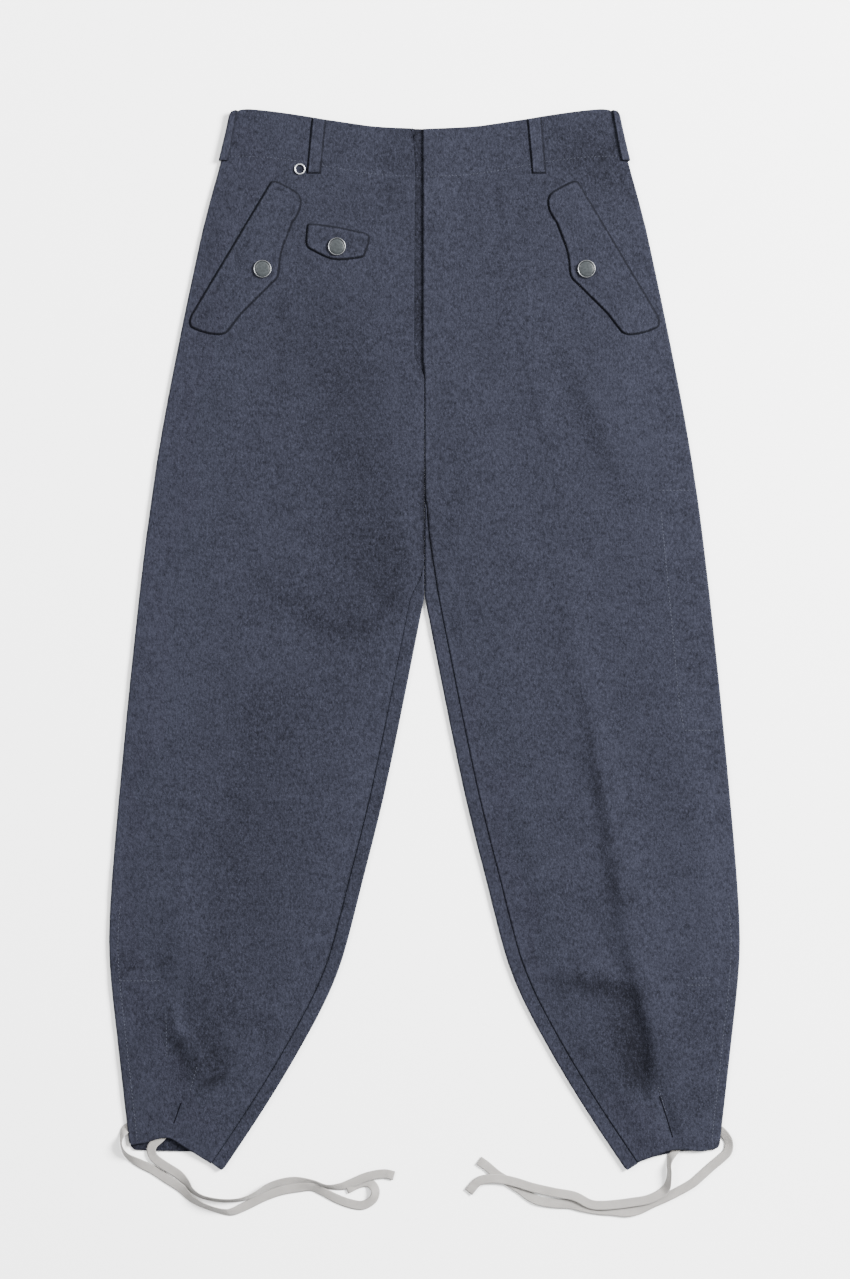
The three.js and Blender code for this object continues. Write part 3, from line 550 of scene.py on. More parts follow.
def panel_layout(plan, columns, count, step, trim=None, inset=0, tip=0):
    """Where the grid of a body panel lies: x, y, how far each point is from the edges, the inner edge.

    columns(y, outer, inner) gives the x of every column, where outer and inner are the panel's edges.
    trim is a table of x and how much the hem is cut up there, inset draws the outseam in, and tip is
    the radius of the hem's inner corner.
    """
    outseam = along_line(plan.y, plan.outer, HEM_IN, TOP_Y - WAIST_CORNER_IN)
    inner = inner_edge(plan)
    hem_from = float(inner(np.array(plan.low[1] + TIP_IN))) + 0.004
    waist = along_line(plan.x, plan.top, plan.low[0], plan.high[0])
    hem = along_line(plan.x, plan.bottom, hem_from, HEM_END)
    row_shares, row_offsets = steps_between(HEM_LEVEL, step)
    section = (row_shares * HEM_LEVEL + row_offsets)[:, None]
    y = TOP_Y - section + np.zeros((1, count))
    for _ in range(ROUNDS):
        right, left = outseam(y) - inset, inner(y)
        x = columns(y, right, left)
        at_waist = np.clip(1 - section / WAIST_EASE, 0, 1)
        at_hem = np.clip((section - HEM_LEVEL + HEM_EASE) / HEM_EASE, 0, 1) ** 2
        bottom = TOP_Y - hem(np.maximum(x, hem_from)) - HEM_LEVEL
        if trim:
            bottom -= np.interp(x, *trim)
        y = TOP_Y - section + (waist(x) - TOP_Y) * at_waist - bottom * at_hem
    insets = {
        "outseam": np.maximum(right - x, 0),
        "seam": np.maximum(x - left, 0),
        "waist": section + 0 * x,
        "hem": HEM_LEVEL - section + 0 * x,
    }
    x, y = corner_rounded(x, y, HEM_CORNER, insets["hem"], insets["outseam"], -1)
    if tip:
        x, y = corner_rounded(x, y, tip, insets["hem"], x - left, 1)
    return x, y, insets, left


def crease_hold(edge, insets):
    """How much of its creases a panel keeps: nothing at its edges and its waist, all further in."""
    return np.clip(edge / EDGE_FLAT, 0, 1) ** 1.5 * np.clip(insets["waist"] / WAIST_FLAT, 0, 1)


SEAM_GROOVE = 0.0013  # how wide the painted shade in the groove at a seam is, and below at the crotch and the hem
CROTCH_GROOVE = 0.0035
HEM_GROOVE = 0.001
PAINTED_SEAM_LIGHT = {"inset": 0.003, "width": 0.0016}  # a painted highlight lies here along a seam, and below along the outseam
PAINTED_OUTSEAM_LIGHT = {"inset": 0.002, "width": 0.002}
FLY_END = 0.27  # above this the right front's edge lies under the fly and has no painted highlight
CROTCH_SHADE = ([0.36, 0.39, 0.45, 0.5], [0, 0.7, 0.7, 0])  # how dark the painted shade in the wide groove at the crotch is
SEAM_SHADE = {  # how dark the painted shade in the seam's groove is, by distance below the waist
    "left": ([0, 0.25, 0.275, 0.36, 0.38, 0.49, 0.51, 0.9], [0.4, 0.4, 0.5, 0.5, 1.1, 0.9, 0.5, 0.6]),
    "right": ([0, 0.25, 0.275, 0.36, 0.38, 0.45, 0.5, 0.6, 0.8, 1.03, 1.06],
              [0.2, 0.2, 0.4, 0.4, 0.8, 0.6, 0, 0.2, 0.6, 0.6, 0.1]),
}
SEAM_ROLL = {  # how full its edges roll under, likewise
    "left": ([0], [1]),
    "right": ([0.27, 0.29, 0.46, 0.49, 0.6, 0.7], [0.6, 1, 1, 0.3, 0.3, 0.8]),
}
HEM_TRIM = {
    "front": {"left": None, "right": ([0.216, 0.2225, 0.231, 0.2425, 0.2525, 0.262],
                                      [0, -0.0008, -0.0018, -0.0025, -0.002, 0])},
    "back": {"left": None, "right": ([0.213, 0.221, 0.231, 0.2415, 0.252, 0.262, 0.272],
                                     [0, 0.0012, 0.0028, 0.0045, 0.002, 0.0004, 0])},
}

# Creases of the fronts: points as distance from the centre line, distance below the waist and height;
# then how far the relief reaches on the centre's side and on the outseam's side. Metres.
CREASES = {
    "left": [
        ([(0.0984, 0.2, 0.0004), (0.1262, 0.391, 0.0006), (0.1633, 0.61, 0.001), (0.1746, 0.671, 0.0013)],
         0.014, 0.022),
        ([(0.1746, 0.671, 0.0013), (0.1859, 0.715, 0.0017), (0.1931, 0.767, 0.0022),
          (0.2034, 0.807, 0.0023), (0.2117, 0.859, 0.0025), (0.2209, 0.904, 0.0030),
          (0.2364, 0.949, 0.0038), (0.2405, 0.970, 0.0035), (0.2384, 1.0115, 0.0018),
          (0.236, 1.04, 0.0008)], 0.010, 0.026),
        ([(0.1396, 0.893, 0.0008), (0.175, 0.894, 0.0020), (0.2, 0.899, 0.0022), (0.216, 0.905, 0.001)],
         0.012, 0.009),
        ([(0.207, 0.894, -0.0010), (0.216, 0.93, -0.0022), (0.222, 0.965, -0.0020),
          (0.220, 1.005, -0.0008)], 0.013, 0.011),
        ([(0.243, 1.012, -0.0008), (0.2557, 1.062, -0.0012)], 0.006, 0.006),
        ([(0.251, 1.008, 0.0006), (0.265, 1.055, 0.0010)], 0.006, 0.008),
        ([(0.079, 0.078, 0.0004), (0.084, 0.126, 0.0002)], 0.004, 0.007),
        ([(0.262, 0.60, 0.0004), (0.285, 0.74, 0.0007), (0.292, 0.87, 0.0003)], 0.020, 0.016),
        ([(0.028, 0.455, 0.0002), (0.07, 0.52, 0.0008), (0.098, 0.60, 0.0003)], 0.016, 0.020),
        ([(0.16, 0.82, -0.0004), (0.185, 0.862, -0.0010), (0.2, 0.89, -0.0006)], 0.012, 0.010),
        ([(0.18, 0.985, 0.0004), (0.214, 1.03, 0.0011), (0.226, 1.06, 0.0004)], 0.009, 0.011),
    ],
    "right": [
        ([(0.262, 0.764, 0.0003), (0.25, 0.82, 0.0010), (0.236, 0.89, 0.0015), (0.224, 0.94, 0.0014),
          (0.216, 0.972, 0.0005)], 0.024, 0.016),
        ([(0.266, 0.925, 0.0004), (0.256, 0.945, 0.0018), (0.2385, 0.969, 0.0012), (0.226, 0.985, 0.0003)],
         0.009, 0.011),
        ([(0.282, 0.868, -0.0005), (0.277, 0.886, -0.0014), (0.270, 0.912, -0.0005)], 0.013, 0.012),
        ([(0.228, 0.945, -0.0004), (0.216, 0.975, -0.0014), (0.205, 1.005, -0.0006)], 0.013, 0.013),
        ([(0.022, 0.46, -0.0004), (0.06, 0.505, -0.0012), (0.105, 0.56, -0.0006)], 0.018, 0.016),
        ([(0.035, 0.535, 0.0004), (0.085, 0.585, 0.0012), (0.14, 0.665, 0.0006)], 0.017, 0.020),
        ([(0.018, 0.40, 0.0002), (0.05, 0.455, 0.0008), (0.10, 0.505, 0.0005)], 0.014, 0.017),
        ([(0.125, 0.27, 0.0002), (0.15, 0.42, 0.0005), (0.18, 0.58, 0.0005), (0.21, 0.72, 0.0002)],
         0.020, 0.018),
        ([(0.30, 0.60, 0.0002), (0.285, 0.72, 0.0008), (0.292, 0.84, 0.0004)], 0.017, 0.014),
        ([(0.18, 0.86, -0.0003), (0.16, 0.905, -0.0009), (0.168, 0.95, -0.0004)], 0.012, 0.015),
        ([(0.25, 1.002, -0.0006), (0.259, 1.03, -0.0010), (0.254, 1.055, -0.0004)], 0.007, 0.007),
    ],
}

# Painted shade along the folds, and painted light where the amount is negative: points as above with the
# amount in place of the height.
PAINTED_FOLD_SHADING = {
    "left": [
        ([(0.158, 0.579, 0.2), (0.1633, 0.61, 0.4), (0.1746, 0.671, 0.45), (0.184, 0.715, 0.5),
          (0.191, 0.767, 0.45), (0.198, 0.815, 0.3)], 0.008, 0.004),
        ([(0.1427, 0.9, 0.4), (0.1808, 0.903, 0.65), (0.2137, 0.911, 0.65)], 0.013, 0.012),
        ([(0.2117, 0.924, 0.4), (0.2199, 0.95, 0.72), (0.2271, 0.981, 0.74), (0.2323, 1.003, 0.4)],
         0.017, 0.008),
        ([(0.198, 0.934, 0.3), (0.2075, 0.965, 0.5), (0.217, 1.0, 0.45)], 0.017, 0.012),
        ([(0.122, 0.2256, 0.12), (0.15, 0.27, 0.2), (0.165, 0.31, 0.2), (0.19, 0.345, 0.12)], 0.012, 0.008),
        ([(0.155, 0.29, 0.12), (0.183, 0.35, 0.22), (0.2137, 0.408, 0.12)], 0.010, 0.010),
        ([(0.1015, 0.245, 0.25), (0.12, 0.33, 0.25), (0.1427, 0.408, 0.15)], 0.004, 0.003),
        ([(0.0747, 0.0845, 0.2), (0.083, 0.136, 0.15)], 0.004, 0.005),
        ([(0.20, 0.20, -0.08), (0.225, 0.33, -0.15), (0.24, 0.45, -0.08)], 0.030, 0.020),
        ([(0.1675, 0.61, -0.03), (0.183, 0.682, -0.03), (0.2085, 0.816, -0.02), (0.2245, 0.8776, 0.03),
          (0.2395, 0.939, 0.05), (0.2445, 0.9806, 0.05), (0.2436, 1.003, 0.02)], 0.003, 0.012),
        ([(0.135, 0.03, 0.22), (0.17, 0.045, 0.38), (0.2, 0.06, 0.34)], 0.034, 0.034),
        ([(0.275, 0.68, -0.06), (0.29, 0.8, -0.14), (0.285, 0.88, -0.1)], 0.040, 0.030),
        ([(0.2838, 0.8776, 0.08), (0.2838, 0.94, 0.14), (0.278, 1.0218, 0.1)], 0.025, 0.020),
    ],
    "right": [
        ([(0.087, 0.2287, 0.2), (0.06, 0.3832, 0.3), (0.045, 0.5068, 0.38)], 0.030, 0.060),
        ([(0.0273, 0.4347, 0.2), (0.0304, 0.5068, 0.2)], 0.012, 0.014),
        ([(0.1746, 0.481, 0.12), (0.1437, 0.5068, 0.3), (0.1076, 0.5325, 0.34), (0.0603, 0.5397, 0.2)],
         0.008, 0.010),
        ([(0.1468, 0.1947, 0.14), (0.1488, 0.2596, 0.12), (0.1519, 0.3368, 0.06)], 0.007, 0.005),
        ([(0.187, 0.6314, 0.08), (0.2158, 0.7952, 0.12), (0.2281, 0.926, 0.22)], 0.030, 0.004),
        ([(0.2436, 0.7735, -0.12), (0.2487, 0.8673, -0.25), (0.2539, 0.9558, -0.35)], 0.004, 0.004),
        ([(0.2645, 0.925, 0.15), (0.2611, 0.9476, 0.4), (0.2539, 0.962, 0.55), (0.2457, 0.9785, 0.5),
          (0.2364, 0.991, 0.35)], 0.006, 0.009),
        ([(0.2281, 0.955, 0.2), (0.2168, 0.9826, 0.4), (0.2117, 1.001, 0.3)], 0.014, 0.013),
        ([(0.2312, 1.0073, 0.3), (0.2209, 1.0032, 0.5), (0.2117, 0.9991, 0.4)], 0.005, 0.005),
        ([(0.256, 0.9373, -0.05), (0.2457, 0.9651, -0.06)], 0.005, 0.004),
        ([(0.2024, 0.936, 0.2), (0.1416, 0.95, 0.12)], 0.012, 0.012),
        ([(0.3147, 0.8796, 0.2), (0.2632, 0.8796, 0.12)], 0.009, 0.007),
        ([(0.235, 0.93, 0.16), (0.235, 0.99, 0.18)], 0.030, 0.030),
        ([(0.29, 0.4, -0.16), (0.285, 0.6, -0.16)], 0.050, 0.030),
        ([(0.23, 0.2, -0.05), (0.235, 0.4, -0.07), (0.24, 0.52, -0.05)], 0.045, 0.035),
        ([(0.298, 0.64, -0.08), (0.304, 0.76, -0.16), (0.298, 0.86, -0.1)], 0.040, 0.030),
        ([(0.285, 0.985, -0.1), (0.275, 1.04, -0.14)], 0.030, 0.020),
        ([(0.15, 0.62, 0.12), (0.17, 0.76, 0.16), (0.185, 0.88, 0.1)], 0.040, 0.040),
    ],
}


def crease_relief(creases, x, y):
    """The height that a list of creases adds at each point."""
    total = np.zeros_like(x)
    for line, towards_centre, towards_outseam in creases:
        path, _ = smooth_path([(across, TOP_Y - down, 0, height) for across, down, height in line], 0.006)
        nearest = np.full(x.shape, 1e9)
        added = np.zeros_like(x)
        for a, b in zip(path[:-1], path[1:]):
            run = b[:2] - a[:2]
            share = np.clip(((x - a[0]) * run[0] + (y - a[1]) * run[1]) / (run @ run), 0, 1)
            aside, away_y = x - a[0] - share * run[0], y - a[1] - share * run[1]
            distance = np.hypot(aside, away_y)
            outside = aside > 0 if abs(run[1]) > abs(run[0]) else away_y > 0
            width = np.where(outside, towards_outseam, towards_centre)
            height = a[3] + share * (b[3] - a[3])
            closer = distance < nearest
            nearest = np.where(closer, distance, nearest)
            added = np.where(closer, height * hump(distance, width), added)
        total += added
    return total


def ripple(x, y):
    """A slight unevenness of the cloth, a third of a millimetre over some centimetres."""
    waves = [(61, 23, 0.4), (-37, 55, 1.9), (17, -83, 3.1), (97, 41, 0.8), (29, 9, 5.2)]
    sizes = [0.00016, 0.00014, 0.0001, 0.00006, 0.0002]
    return sum(size * np.sin(a * x + b * y + turn) for (a, b, turn), size in zip(waves, sizes))


TOPS = {}  # the upper faces of finished pieces, by CAD node


def woollen(piece, node, wall=WOOL_WALL, on_top=True):
    """Finishes the cloth of a CAD node. With on_top, other pieces may lie on it."""
    if on_top:
        TOPS[node] = surface_of(piece)
    thicken(piece, wall)
    return settle(piece, [node], WOOL)


def highest(x, y, nodes=None):
    """The height of the uppermost finished piece at a point, or nothing where there is none."""
    hits = [TOPS[name].ray_cast((x, y, 1), (0, 0, -1))[0] for name in nodes or TOPS]
    return max((hit.z for hit in hits if hit is not None), default=None)


def fronts_at(x, y, bare=0.0):
    """The height of the fronts at each point of a grid, or bare where there is none."""
    found = [[highest(*at, ["front_left", "front_right"]) for at in zip(*row)] for row in zip(x, y)]
    return np.array([[bare if z is None else z for z in row] for row in found])


def make_front(side):
    sign = SIDES[side]
    plan = Plan("front_" + side, sign)
    shares, offsets = steps_between(PANEL_WIDTH, FRONT_STEP)

    def across(y, outer, inner):
        return outer + (inner - outer) * shares - offsets

    trim = HEM_TRIM["front"][side]
    x, y, insets, _ = panel_layout(plan, across, len(shares), FRONT_STEP, trim)
    seam, hem, outseam = insets["seam"], insets["hem"], insets["outseam"]
    hold = crease_hold(np.minimum.reduce([outseam * 1.3, hem * 1.3, seam]), insets)
    z = plan.height()(x, y) + (crease_relief(CREASES[side], x, y) + ripple(x * sign, y)) * hold
    drops = [rolled(insets[key], ROLL[key]) for key in ("outseam", "waist", "hem")]
    z = np.maximum(z - np.maximum.reduce([*drops, seam_drop(side, seam, y)]), FRONT_LOWEST)
    # Painted shade in the grooves at the seam, the crotch and the hem.
    groove_shade = hump(seam, SEAM_GROOVE) * np.interp(TOP_Y - y, *SEAM_SHADE[side])
    groove_shade += hump(seam, CROTCH_GROOVE) * np.interp(TOP_Y - y, *CROTCH_SHADE) + hump(hem, HEM_GROOVE) * 0.5
    # Painted light along the seam and the outseam, none where the edge lies under the fly.
    under_fly = (y > FLY_END) & (side == "right")
    lit = hump(seam - PAINTED_SEAM_LIGHT["inset"], PAINTED_SEAM_LIGHT["width"]) * np.where(under_fly, 0, 0.5)
    lit += hump(outseam - PAINTED_OUTSEAM_LIGHT["inset"], PAINTED_OUTSEAM_LIGHT["width"]) * 0.25
    # Painted shade along the folds, and painted light where it is negative.
    shade = crease_relief(PAINTED_FOLD_SHADING[side], x, y)
    points = np.stack([x * sign, y, z], axis=2)
    marks = {"painted_shade": groove_shade + np.maximum(shade, 0), "painted_light": lit + np.maximum(-shade, 0) * 2}
    piece = cloth_grid("cloth_front_" + side, points, turned=sign < 0, marks=marks)
    return woollen(piece, "front_" + side)


fronts = {side: make_front(side) for side in SIDES}

# ---------------------------------------------------------------- backs
# Each back lies under its front, and folds round the inside of the leg to meet the front's inseam. At
# the crotch the folded strips show as two tongues. At the centre back the edges are turned up.

BACK_STEP = 0.0036
LOWEST = 0.0001  # nothing lies closer to the table
OUTSEAM_INSET = 0.001
FOLD_RADIUS = 0.00215
SEAM_GAP = 0.0003
TONGUE_SHOWS = 0.0003  # narrower than this, the folded strip is left out
TONGUE_WIDTH = 0.014  # a usual width of the strip, for its columns
TONGUE_STEP = 0.002
TONGUE_FOLDS = 0.0015  # the fold goes from a quarter to a half turn as the strip widens by this
TONGUE_FULL = 0.008  # narrower than this, its close columns move together
HEM_INSIDE = 0.016  # painted shade darkens the backs this far in from the hem, under the front's hem
FOLD_FROM = 0.24  # above this the backs end at the centre seam, under the fly
TURN_STEPS = 9
HOLLOWS = {
    "left": [
        ([(0.09, 0.10, 0.0002), (0.10, 0.26, 0.0006), (0.08, 0.36, 0.0002)], 0.024, 0.030),
        ([(0.17, 0.42, 0.0002), (0.20, 0.58, 0.0007), (0.23, 0.70, 0.0002)], 0.020, 0.026),
        ([(0.14, 0.74, 0.0002), (0.20, 0.80, 0.0008), (0.27, 0.83, 0.0003)], 0.014, 0.017),
        ([(0.19, 0.90, 0.0002), (0.24, 0.96, 0.0008), (0.26, 1.02, 0.0002)], 0.013, 0.016),
    ],
    "right": [
        ([(0.07, 0.14, 0.0002), (0.11, 0.22, 0.0005), (0.12, 0.34, 0.0002)], 0.027, 0.022),
        ([(0.20, 0.38, 0.0002), (0.19, 0.52, 0.0006), (0.22, 0.66, 0.0002)], 0.023, 0.021),
        ([(0.12, 0.70, 0.0002), (0.19, 0.75, 0.0006), (0.26, 0.76, 0.0002)], 0.016, 0.014),
        ([(0.22, 0.88, 0.0002), (0.25, 0.93, 0.0007), (0.25, 1.00, 0.0002)], 0.012, 0.018),
    ],
}


def make_back(side):
    sign = SIDES[side]
    plan = Plan("back_" + side, sign)
    seam = inner_edge(Plan("front_" + side, sign))
    shares, offsets = steps_between(PANEL_WIDTH, BACK_STEP)
    flat = len(shares) - len(CLOSE_STEPS) + 1
    turns = np.linspace(0, 1, TURN_STEPS)[1:]
    strip_shares, strip_offsets = steps_between(TONGUE_WIDTH, TONGUE_STEP)
    count = flat + len(turns) + len(strip_shares) - 1
    lies = slice(0, flat)
    bends = slice(flat, flat + len(turns))
    returns = slice(flat + len(turns), count)

    def strip_width(y, inner):
        return np.where(y > FOLD_FROM, -1, seam(y) - SEAM_GAP - inner - FOLD_RADIUS)

    def folded(y, inner):
        """How far round the fold goes: a quarter turn where no strip shows, else a half."""
        return (math.pi / 2) * (1 + np.clip(strip_width(y, inner) / TONGUE_FOLDS + 1, 0, 1))

    def across(y, outer, inner):
        centre = inner + FOLD_RADIUS
        x = centre + 0
        x[:, lies] = outer[:, lies] + (centre - outer)[:, lies] * shares[:flat] - offsets[:flat]
        x[:, bends] -= FOLD_RADIUS * np.sin(folded(y, inner)[:, bends] * turns)
        width = np.maximum(strip_width(y, inner), 0)[:, returns]
        x[:, returns] += width * strip_shares[1:] + strip_offsets[1:] * np.minimum(width / TONGUE_FULL, 1)
        return x

    trim = HEM_TRIM["back"][side]
    x, y, insets, inner = panel_layout(plan, across, count, BACK_STEP, trim, OUTSEAM_INSET, HEM_TIP)
    z = plan.height(below=True)(np.maximum(x, inner + FOLD_RADIUS), y)
    hold = crease_hold(np.minimum(np.minimum(insets["outseam"], insets["hem"]), x - inner), insets)
    rise = crease_relief(HOLLOWS[side], x, y) * hold
    z[:, lies] += (rise + rolled(insets["outseam"], ROLL["outseam"]) * 0.45)[:, lies]
    angle = np.zeros(x.shape)
    angle[:, bends] = folded(y, inner)[:, bends] * turns
    angle[:, returns] = math.pi
    z += FOLD_RADIUS * (1 - np.cos(angle))
    to_seam = seam(y) - SEAM_GAP - x
    z[:, returns] -= seam_drop(side, np.maximum(to_seam, 0), y)[:, returns]
    z = np.maximum(z, LOWEST)
    on_strip = np.arange(count) >= returns.start
    bare = on_strip & (strip_width(y, inner) < TONGUE_SHOWS)
    points = np.stack([x * sign, y, z], axis=2)
    # Painted shade in the seam's groove on the folded strips, and on the backs inside the hem.
    groove_shade = hump(to_seam, SEAM_GROOVE) * np.interp(TOP_Y - y, *SEAM_SHADE[side]) * on_strip
    groove_shade[:, lies] += hump(insets["hem"], HEM_INSIDE)[:, lies] * 0.6
    piece = cloth_grid("cloth_back_" + side, points, turned=sign > 0, bare=bare, marks={"painted_shade": groove_shade})
    return woollen(piece, "back_" + side, on_top=False)


backs = {side: make_back(side) for side in SIDES}

# ---------------------------------------------------------------- fly underlap and belt loops
# A strip lies under the two edges of the fly. The loops are strips folded in three and sewn down at
# the waist and below it: two on the fronts, one over each side seam, one at the centre back.

STRIP_TOP_IN = 0.006  # a strip's sides are followed up to here below its top and down to here
STRIP_END_IN = 0.004


def strip_layout(plan, step, close, lean=0):
    """Where the grid of a narrow strip lies, and how far each point is from its sides and ends."""
    low, high = plan.low[1], plan.high[1]
    outer = along_line(plan.y, plan.outer, low + STRIP_END_IN, high - STRIP_TOP_IN)
    inner = along_line(plan.y, plan.inner, low + STRIP_END_IN, high - STRIP_TOP_IN)
    shares, offsets = steps_between(float(np.median(plan.outer - plan.inner)), step, close)
    row_shares, row_offsets = steps_between(high - low, step, close)
    share = np.clip(row_shares + row_offsets / (high - low), 0, 1)[:, None]
    y = high - share * (high - low) + 0 * shares
    x = outer(y) + (inner(y) - outer(y)) * shares - offsets
    sides = np.minimum(outer(y) - x, x - inner(y))
    ends = np.minimum(high - y, y - low)
    y += lean * (x - x.mean(axis=1, keepdims=True)) * (1 - share)
    return x, y, np.maximum(sides, 0), np.maximum(ends, 0)


FINE_STEPS = np.array([0, 0.0002, 0.0005, 0.0009, 0.0014])
STRIP_STEP = 0.0012
LOOP_WALL = 0.0012
LOOP_LIFT = 0.0013  # how high a loop lies above its front
LOOP_SHORTER = 0.002  # its top end lies this far below the solid's, just under the waist's edge
SHADOW_LIP = 0.0012  # how far the painted shadow under a sewn-on piece reaches out
SHADOW_LIP_TOP = 0.0003  # and how far at the waist
SHADOW_LIP_LIFT = 0.0003  # how high that edge lies above the cloth
# how dark that painted shadow is
LIP_SHADE = 1.6


def add_shadow_lip(x, y, z, marks, sign):
    """Adds a row and a column all round, which go out and down to the cloth below, painted dark as the
    shadow in the gap.
    """
    x, y, z = (np.pad(values, 1, mode="edge") for values in (x, y, z))
    x[:, 0] += SHADOW_LIP
    x[:, -1] -= SHADOW_LIP
    y[0] += SHADOW_LIP_TOP
    y[-1] -= SHADOW_LIP
    inside = np.zeros(z.shape, bool)
    inside[1:-1, 1:-1] = True
    under = fronts_at(x * sign, y, bare=np.nan)
    z = np.where(inside, z, np.where(np.isnan(under), z - 0.001, under + SHADOW_LIP_LIFT))
    padded = {key: np.pad(values + 0 * z[1:-1, 1:-1], 1) for key, values in marks.items()}
    padded["painted_shade"][~inside] = LIP_SHADE
    return x, y, z, padded


def make_strip(
    name, side="left", roll=0.001, folds=0.0, lean=0.0, face="up", wall=WOOL_WALL, shaded=0.0, rise=0.0,
    lip=False, under=False,
):
    """A narrow strip. roll is the radius of its edges, folds the depth of the dips along them, lean how much
    its upper end slopes, rise how much longer that end is, shaded how much painted shade it carries all
    over, lip whether it is sewn on a front with a painted shadow all round, and under whether it lies below
    both.
    """
    sign = SIDES[side]
    plan = Plan(name, sign, step=0.001)
    x, y, sides, ends = strip_layout(plan, STRIP_STEP, FINE_STEPS, lean)
    up = face == "up"
    z = plan.height(step=0.002, blur=2, below=not up)(x, y)
    dips = hump(sides - 0.0026, 0.0007) - hump(sides - 0.0012, 0.0006) * 0.5
    y = y + rise * np.clip(1 - (plan.high[1] - y) / 0.02, 0, 1)
    drop = rolled(sides, roll) + rolled(ends, roll * 0.8) + folds * dips
    z = np.maximum(z - drop if up else z + drop, LOWEST)
    # Painted shade along the sides and ends, and all over by shaded; folded loops get painted light all
    # over, brightest along each edge's crest.
    marks = {
        "painted_shade": shaded + hump(sides, 0.0008) * 1.1 + hump(ends, 0.0006) * 0.5,
        "painted_light": (0.25 + hump(sides - 0.0016, 0.0006) * 0.6) * (folds > 0),
    }
    if lip:
        y = y - LOOP_SHORTER * np.clip(1 - (plan.high[1] - y) / 0.01, 0, 1)
        z = np.minimum(z, fronts_at(x * sign, y) + LOOP_LIFT - drop * 0.7)
        x, y, z, marks = add_shadow_lip(x, y, z, marks, sign)
    if under:
        lowest = np.pad(fronts_at(x * sign, y, bare=1).min(axis=1), 8, mode="edge")
        lowest = np.convolve(lowest, np.ones(17) / 17, "valid")[:, None]
        z = np.minimum(z, lowest - WOOL_WALL + 0.0003)
    points = np.stack([x * sign, y, z], axis=2)
    piece = cloth_grid("cloth_" + name, points, turned=(sign < 0) == up, marks=marks)
    return woollen(piece, name, wall, on_top=up)


# The underlap is painted in shade, as it lies in the shadow of the fly's edge.
underlap = make_strip("fly_underlap", roll=0.0012, shaded=0.5, rise=0.0014, under=True)
for side in SIDES:
    loop = make_strip(
        "loop_front_" + side, side, roll=0.0011, folds=0.00025, lean=0.14, wall=LOOP_WALL, lip=True
    )
back_loop = make_strip("loop_back", roll=0.0009, folds=0.0002, face="down", wall=LOOP_WALL)


SIDE_LOOP_RADIUS = 0.0024  # of its turn over the folded edge
SIDE_LOOP_DROP = 0.0105  # how far its top corner lies below its inner one
SIDE_LOOP_ROLL = 0.0009
SIDE_LOOP_END_IN = 0.003  # its edges are followed down to here above its lower end
SIDE_LOOP_TOP_IN = {"inner": 0.008, "outer": 0.012}  # and up to here below its upper end


def make_side_loop(side):
    """A loop that lies on the front and turns down over the folded edge of the panels."""
    sign = SIDES[side]
    name = "loop_side_" + side
    plan = Plan(name, sign, step=0.001)
    low, high = plan.low[1], plan.high[1]
    lowest = low + SIDE_LOOP_END_IN
    inner_line = along_line(plan.y, plan.inner, lowest, high - SIDE_LOOP_TOP_IN["inner"])
    outer_line = along_line(plan.y, plan.outer, lowest, high - SIDE_LOOP_TOP_IN["outer"])
    radius = SIDE_LOOP_RADIUS
    shares, row_offsets = steps_between(high - low, 0.0015, FINE_STEPS)
    share = np.clip(shares + row_offsets / (high - low), 0, 1)[:, None]
    flat = np.linspace(0, 1, 9)
    turn = np.linspace(0, math.pi / 2, 7)[1:]
    side_rows = np.linspace(0, 1, 4)[1:]
    lies = slice(0, len(flat))
    bends = slice(len(flat), len(flat) + len(turn))
    stands = slice(len(flat) + len(turn), None)
    outward = np.r_[flat * 0.35, 0.35 + 0.65 * np.linspace(0, 1, len(turn) + len(side_rows))]
    y = high - share * (high - low) - (1 - share) * SIDE_LOOP_DROP * np.clip(outward, 0, 1) ** 2
    inner, outer = inner_line(y), outer_line(y)
    bend = outer - radius
    top = plan.height(step=0.002, blur=2)
    level = top(bend[:, :1] - 0.0022, y[:, :1])
    x, z = outer + 0, level + 0 * y
    x[:, lies] = inner[:, lies] + (bend - inner)[:, lies] * flat
    x[:, bends] = bend[:, bends] + radius * np.sin(turn)
    lying = np.minimum(top(x[:, lies], y[:, lies]), level + 0.0006)
    z[:, lies] += (lying - level) * (1 - flat) - rolled((x - inner)[:, lies], 0.001)
    z[:, bends] -= radius * (1 - np.cos(turn))
    z[:, stands] = (level - radius) * (1 - side_rows) + 0.0003 * side_rows
    ends = np.minimum(share, 1 - share) * (high - low) + 0 * x
    x[:, len(flat) :] -= rolled(ends, SIDE_LOOP_ROLL)[:, len(flat) :]
    z[:, lies] -= rolled(ends, SIDE_LOOP_ROLL)[:, lies]
    inset = np.maximum(x - inner, 0)
    # Painted shade along the inner edge and the ends; painted light over the loop, brightest along the inner
    # edge's crest.
    marks = {
        "painted_shade": hump(inset, 0.0006) * 0.7 + hump(ends, 0.0006) * 0.9,
        "painted_light": 0.45 + hump(inset - 0.0016, 0.0006) * 0.5,
    }
    # A skirt out to the front, painted dark as the shadow under the loop.
    skirt = inner[:, :1] - SHADOW_LIP
    under = fronts_at(skirt * sign, y[:, :1]) + SHADOW_LIP_LIFT
    x, y, z = np.hstack([skirt, x]), np.hstack([y[:, :1], y]), np.hstack([under, z])
    marks = {key: np.pad(values, ((0, 0), (1, 0))) for key, values in marks.items()}
    marks["painted_shade"][:, 0] = LIP_SHADE
    points = np.stack([x * sign, y, z], axis=2)
    piece = cloth_grid("cloth_" + name, points, turned=sign > 0, marks=marks)
    return woollen(piece, name, LOOP_WALL, on_top=False)


for side in SIDES:
    make_side_loop(side)

